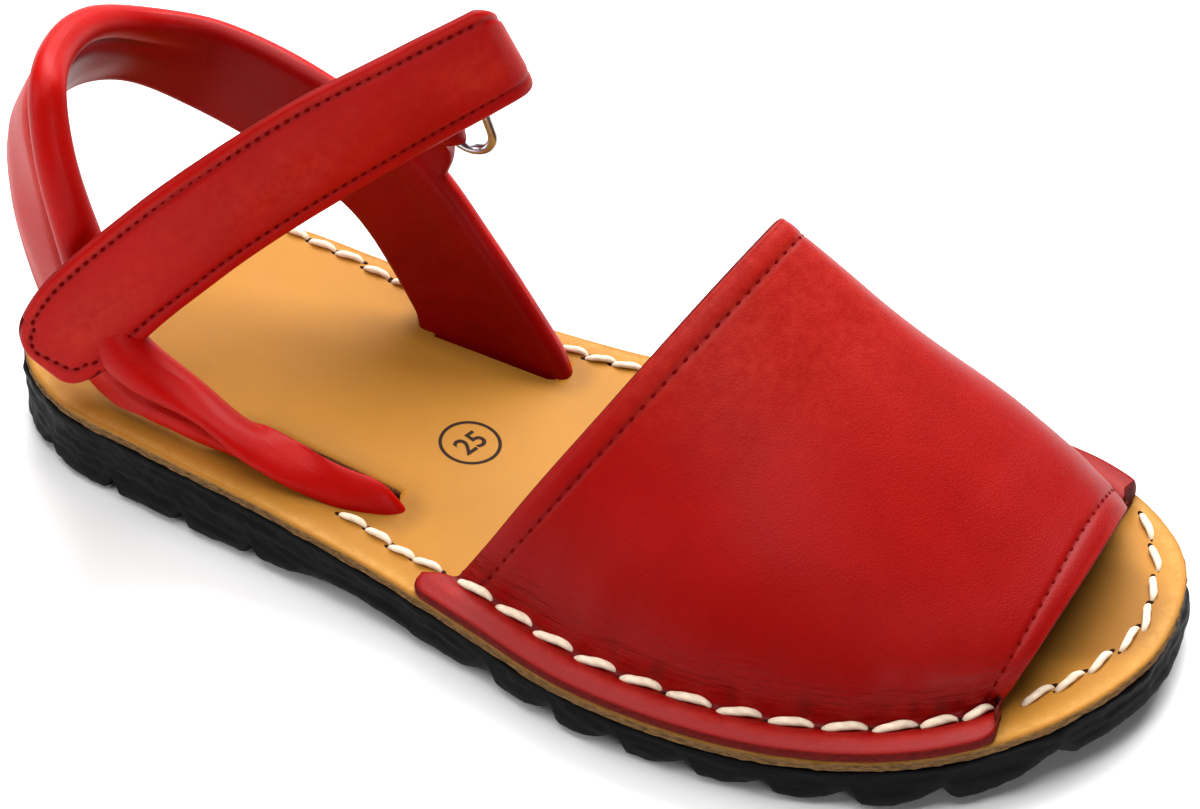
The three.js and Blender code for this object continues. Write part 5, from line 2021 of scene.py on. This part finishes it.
@dataclass(frozen=True)
class Softbox:
    """One soft light: where it hangs, the point it faces and its size, in metres, and its watts."""

    name: str
    place: tuple
    aim: tuple
    size: tuple
    power: float

    def hang(self) -> None:
        """Adds the light to the scene."""
        data = bpy.data.lights.new(self.name, "AREA")
        data.shape, data.size, data.size_y, data.energy = "RECTANGLE", *self.size, self.power
        light = bpy.data.objects.new(self.name, data)
        light.location = self.place
        light.rotation_mode = "QUATERNION"
        light.rotation_quaternion = (Vector(self.aim) - Vector(self.place)).to_track_quat("-Z", "Y")
        bpy.context.scene.collection.objects.link(light)


@dataclass
class Studio:
    """The pale floor, the soft lights and the camera at the photograph's angle."""

    camera_place: tuple = (-381.834, -224.041, 386.854)
    camera_back: tuple = (-0.6673, -0.3853, 0.6374)
    camera_right: tuple = (0.5, -0.866, 0.0)
    roll: float = 0.2
    lens: float = 125.27
    sensor: float = 36.0
    clip: tuple = (0.05, 20.0)
    floor_size: float = 6.0
    floor_colour: Colour = (0.9, 0.9, 0.9)
    floor_rough: float = 0.75
    world_light: float = 0.07
    lights: tuple = (
        Softbox("back_softbox", (0.85, 0.25, 0.95), (0.0, 0.0, 0.02), (1.2, 0.9), 34.0),
        Softbox("top_softbox", (-0.1, 0.1, 1.1), (0.0, 0.0, 0.02), (0.9, 0.9), 11.0),
        Softbox("front_softbox", (-0.5, -0.8, 0.35), (0.0, 0.03, 0.05), (0.35, 0.25), 2.2),
        Softbox("heel_softbox", (-0.6, 0.8, 0.5), (0.0, 0.02, 0.03), (0.5, 0.5), 3.8),
    )

    def make_camera(self) -> None:
        """Places the camera and makes it the scene's own."""
        data = bpy.data.cameras.new("studio_camera")
        data.lens, data.sensor_width = self.lens, self.sensor
        data.clip_start, data.clip_end = self.clip
        back, right = unit(np.array(self.camera_back)), np.array(self.camera_right)
        right = unit(right - back * (right @ back))
        up = np.cross(back, right)
        turn = radians(self.roll)
        rolled_right = right * cos(turn) + up * sin(turn)
        rolled_up = up * cos(turn) - right * sin(turn)
        ways = [Vector(way) for way in (rolled_right, rolled_up, back)]
        camera = bpy.data.objects.new("studio_camera", data)
        place = Matrix.Translation(Vector(self.camera_place) * MM)
        camera.matrix_world = place @ Matrix(ways).transposed().to_4x4()
        bpy.context.scene.collection.objects.link(camera)
        bpy.context.scene.camera = camera

    def make_floor(self) -> None:
        """Lays the plain pale floor under the sandal."""
        half = self.floor_size / 2
        mesh = bpy.data.meshes.new("studio_floor")
        corners = [(-half, -half, 0), (half, -half, 0), (half, half, 0), (-half, half, 0)]
        mesh.from_pydata(corners, [], [(0, 1, 2, 3)])
        material, graph, surface = Finish("studio_floor", self.floor_colour).start()
        graph.wire(surface, {"Base Color": self.floor_colour, "Roughness": self.floor_rough})
        mesh.materials.append(material)
        floor = bpy.data.objects.new("studio_floor", mesh)
        bpy.context.scene.collection.objects.link(floor)
        floor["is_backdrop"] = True

    def make(self) -> None:
        """Builds the studio round the sandal."""
        self.make_camera()
        self.make_floor()
        for light in self.lights:
            light.hang()
        world = bpy.data.worlds.new("studio_world")
        world.use_nodes = True
        background = world.node_tree.nodes["Background"]
        background.inputs["Color"].default_value = (1, 1, 1, 1)
        background.inputs["Strength"].default_value = self.world_light
        bpy.context.scene.world = world
        bpy.context.scene.view_settings.view_transform = "Standard"


def corners() -> list[list[float]]:
    """Returns the shown object's lowest and highest corner as plain numbers."""
    return [[float(value) for value in corner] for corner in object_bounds()]


def main() -> None:
    """Builds every piece in order."""
    logging.basicConfig(level=logging.INFO, format="%(name)s: %(message)s")
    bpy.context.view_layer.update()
    Studio().make()
    last = Last()
    bed, vamp, heel, strap = Footbed(last), Vamp(last), HeelStrap(last), AnkleStrap(last)
    for piece in (Outsole(last), bed, vamp, heel, strap):
        piece.make()
    fittings = RingAndTab(last, strap, heel)
    fittings.make_ring()
    fittings.make_tab()
    stitching = Stitching(last, bed, vamp, strap)
    stitching.make_hand_stitches()
    stitching.make_machine_seams()
    SizeMark(last, bed).make()


if __name__ == "__main__":
    main()
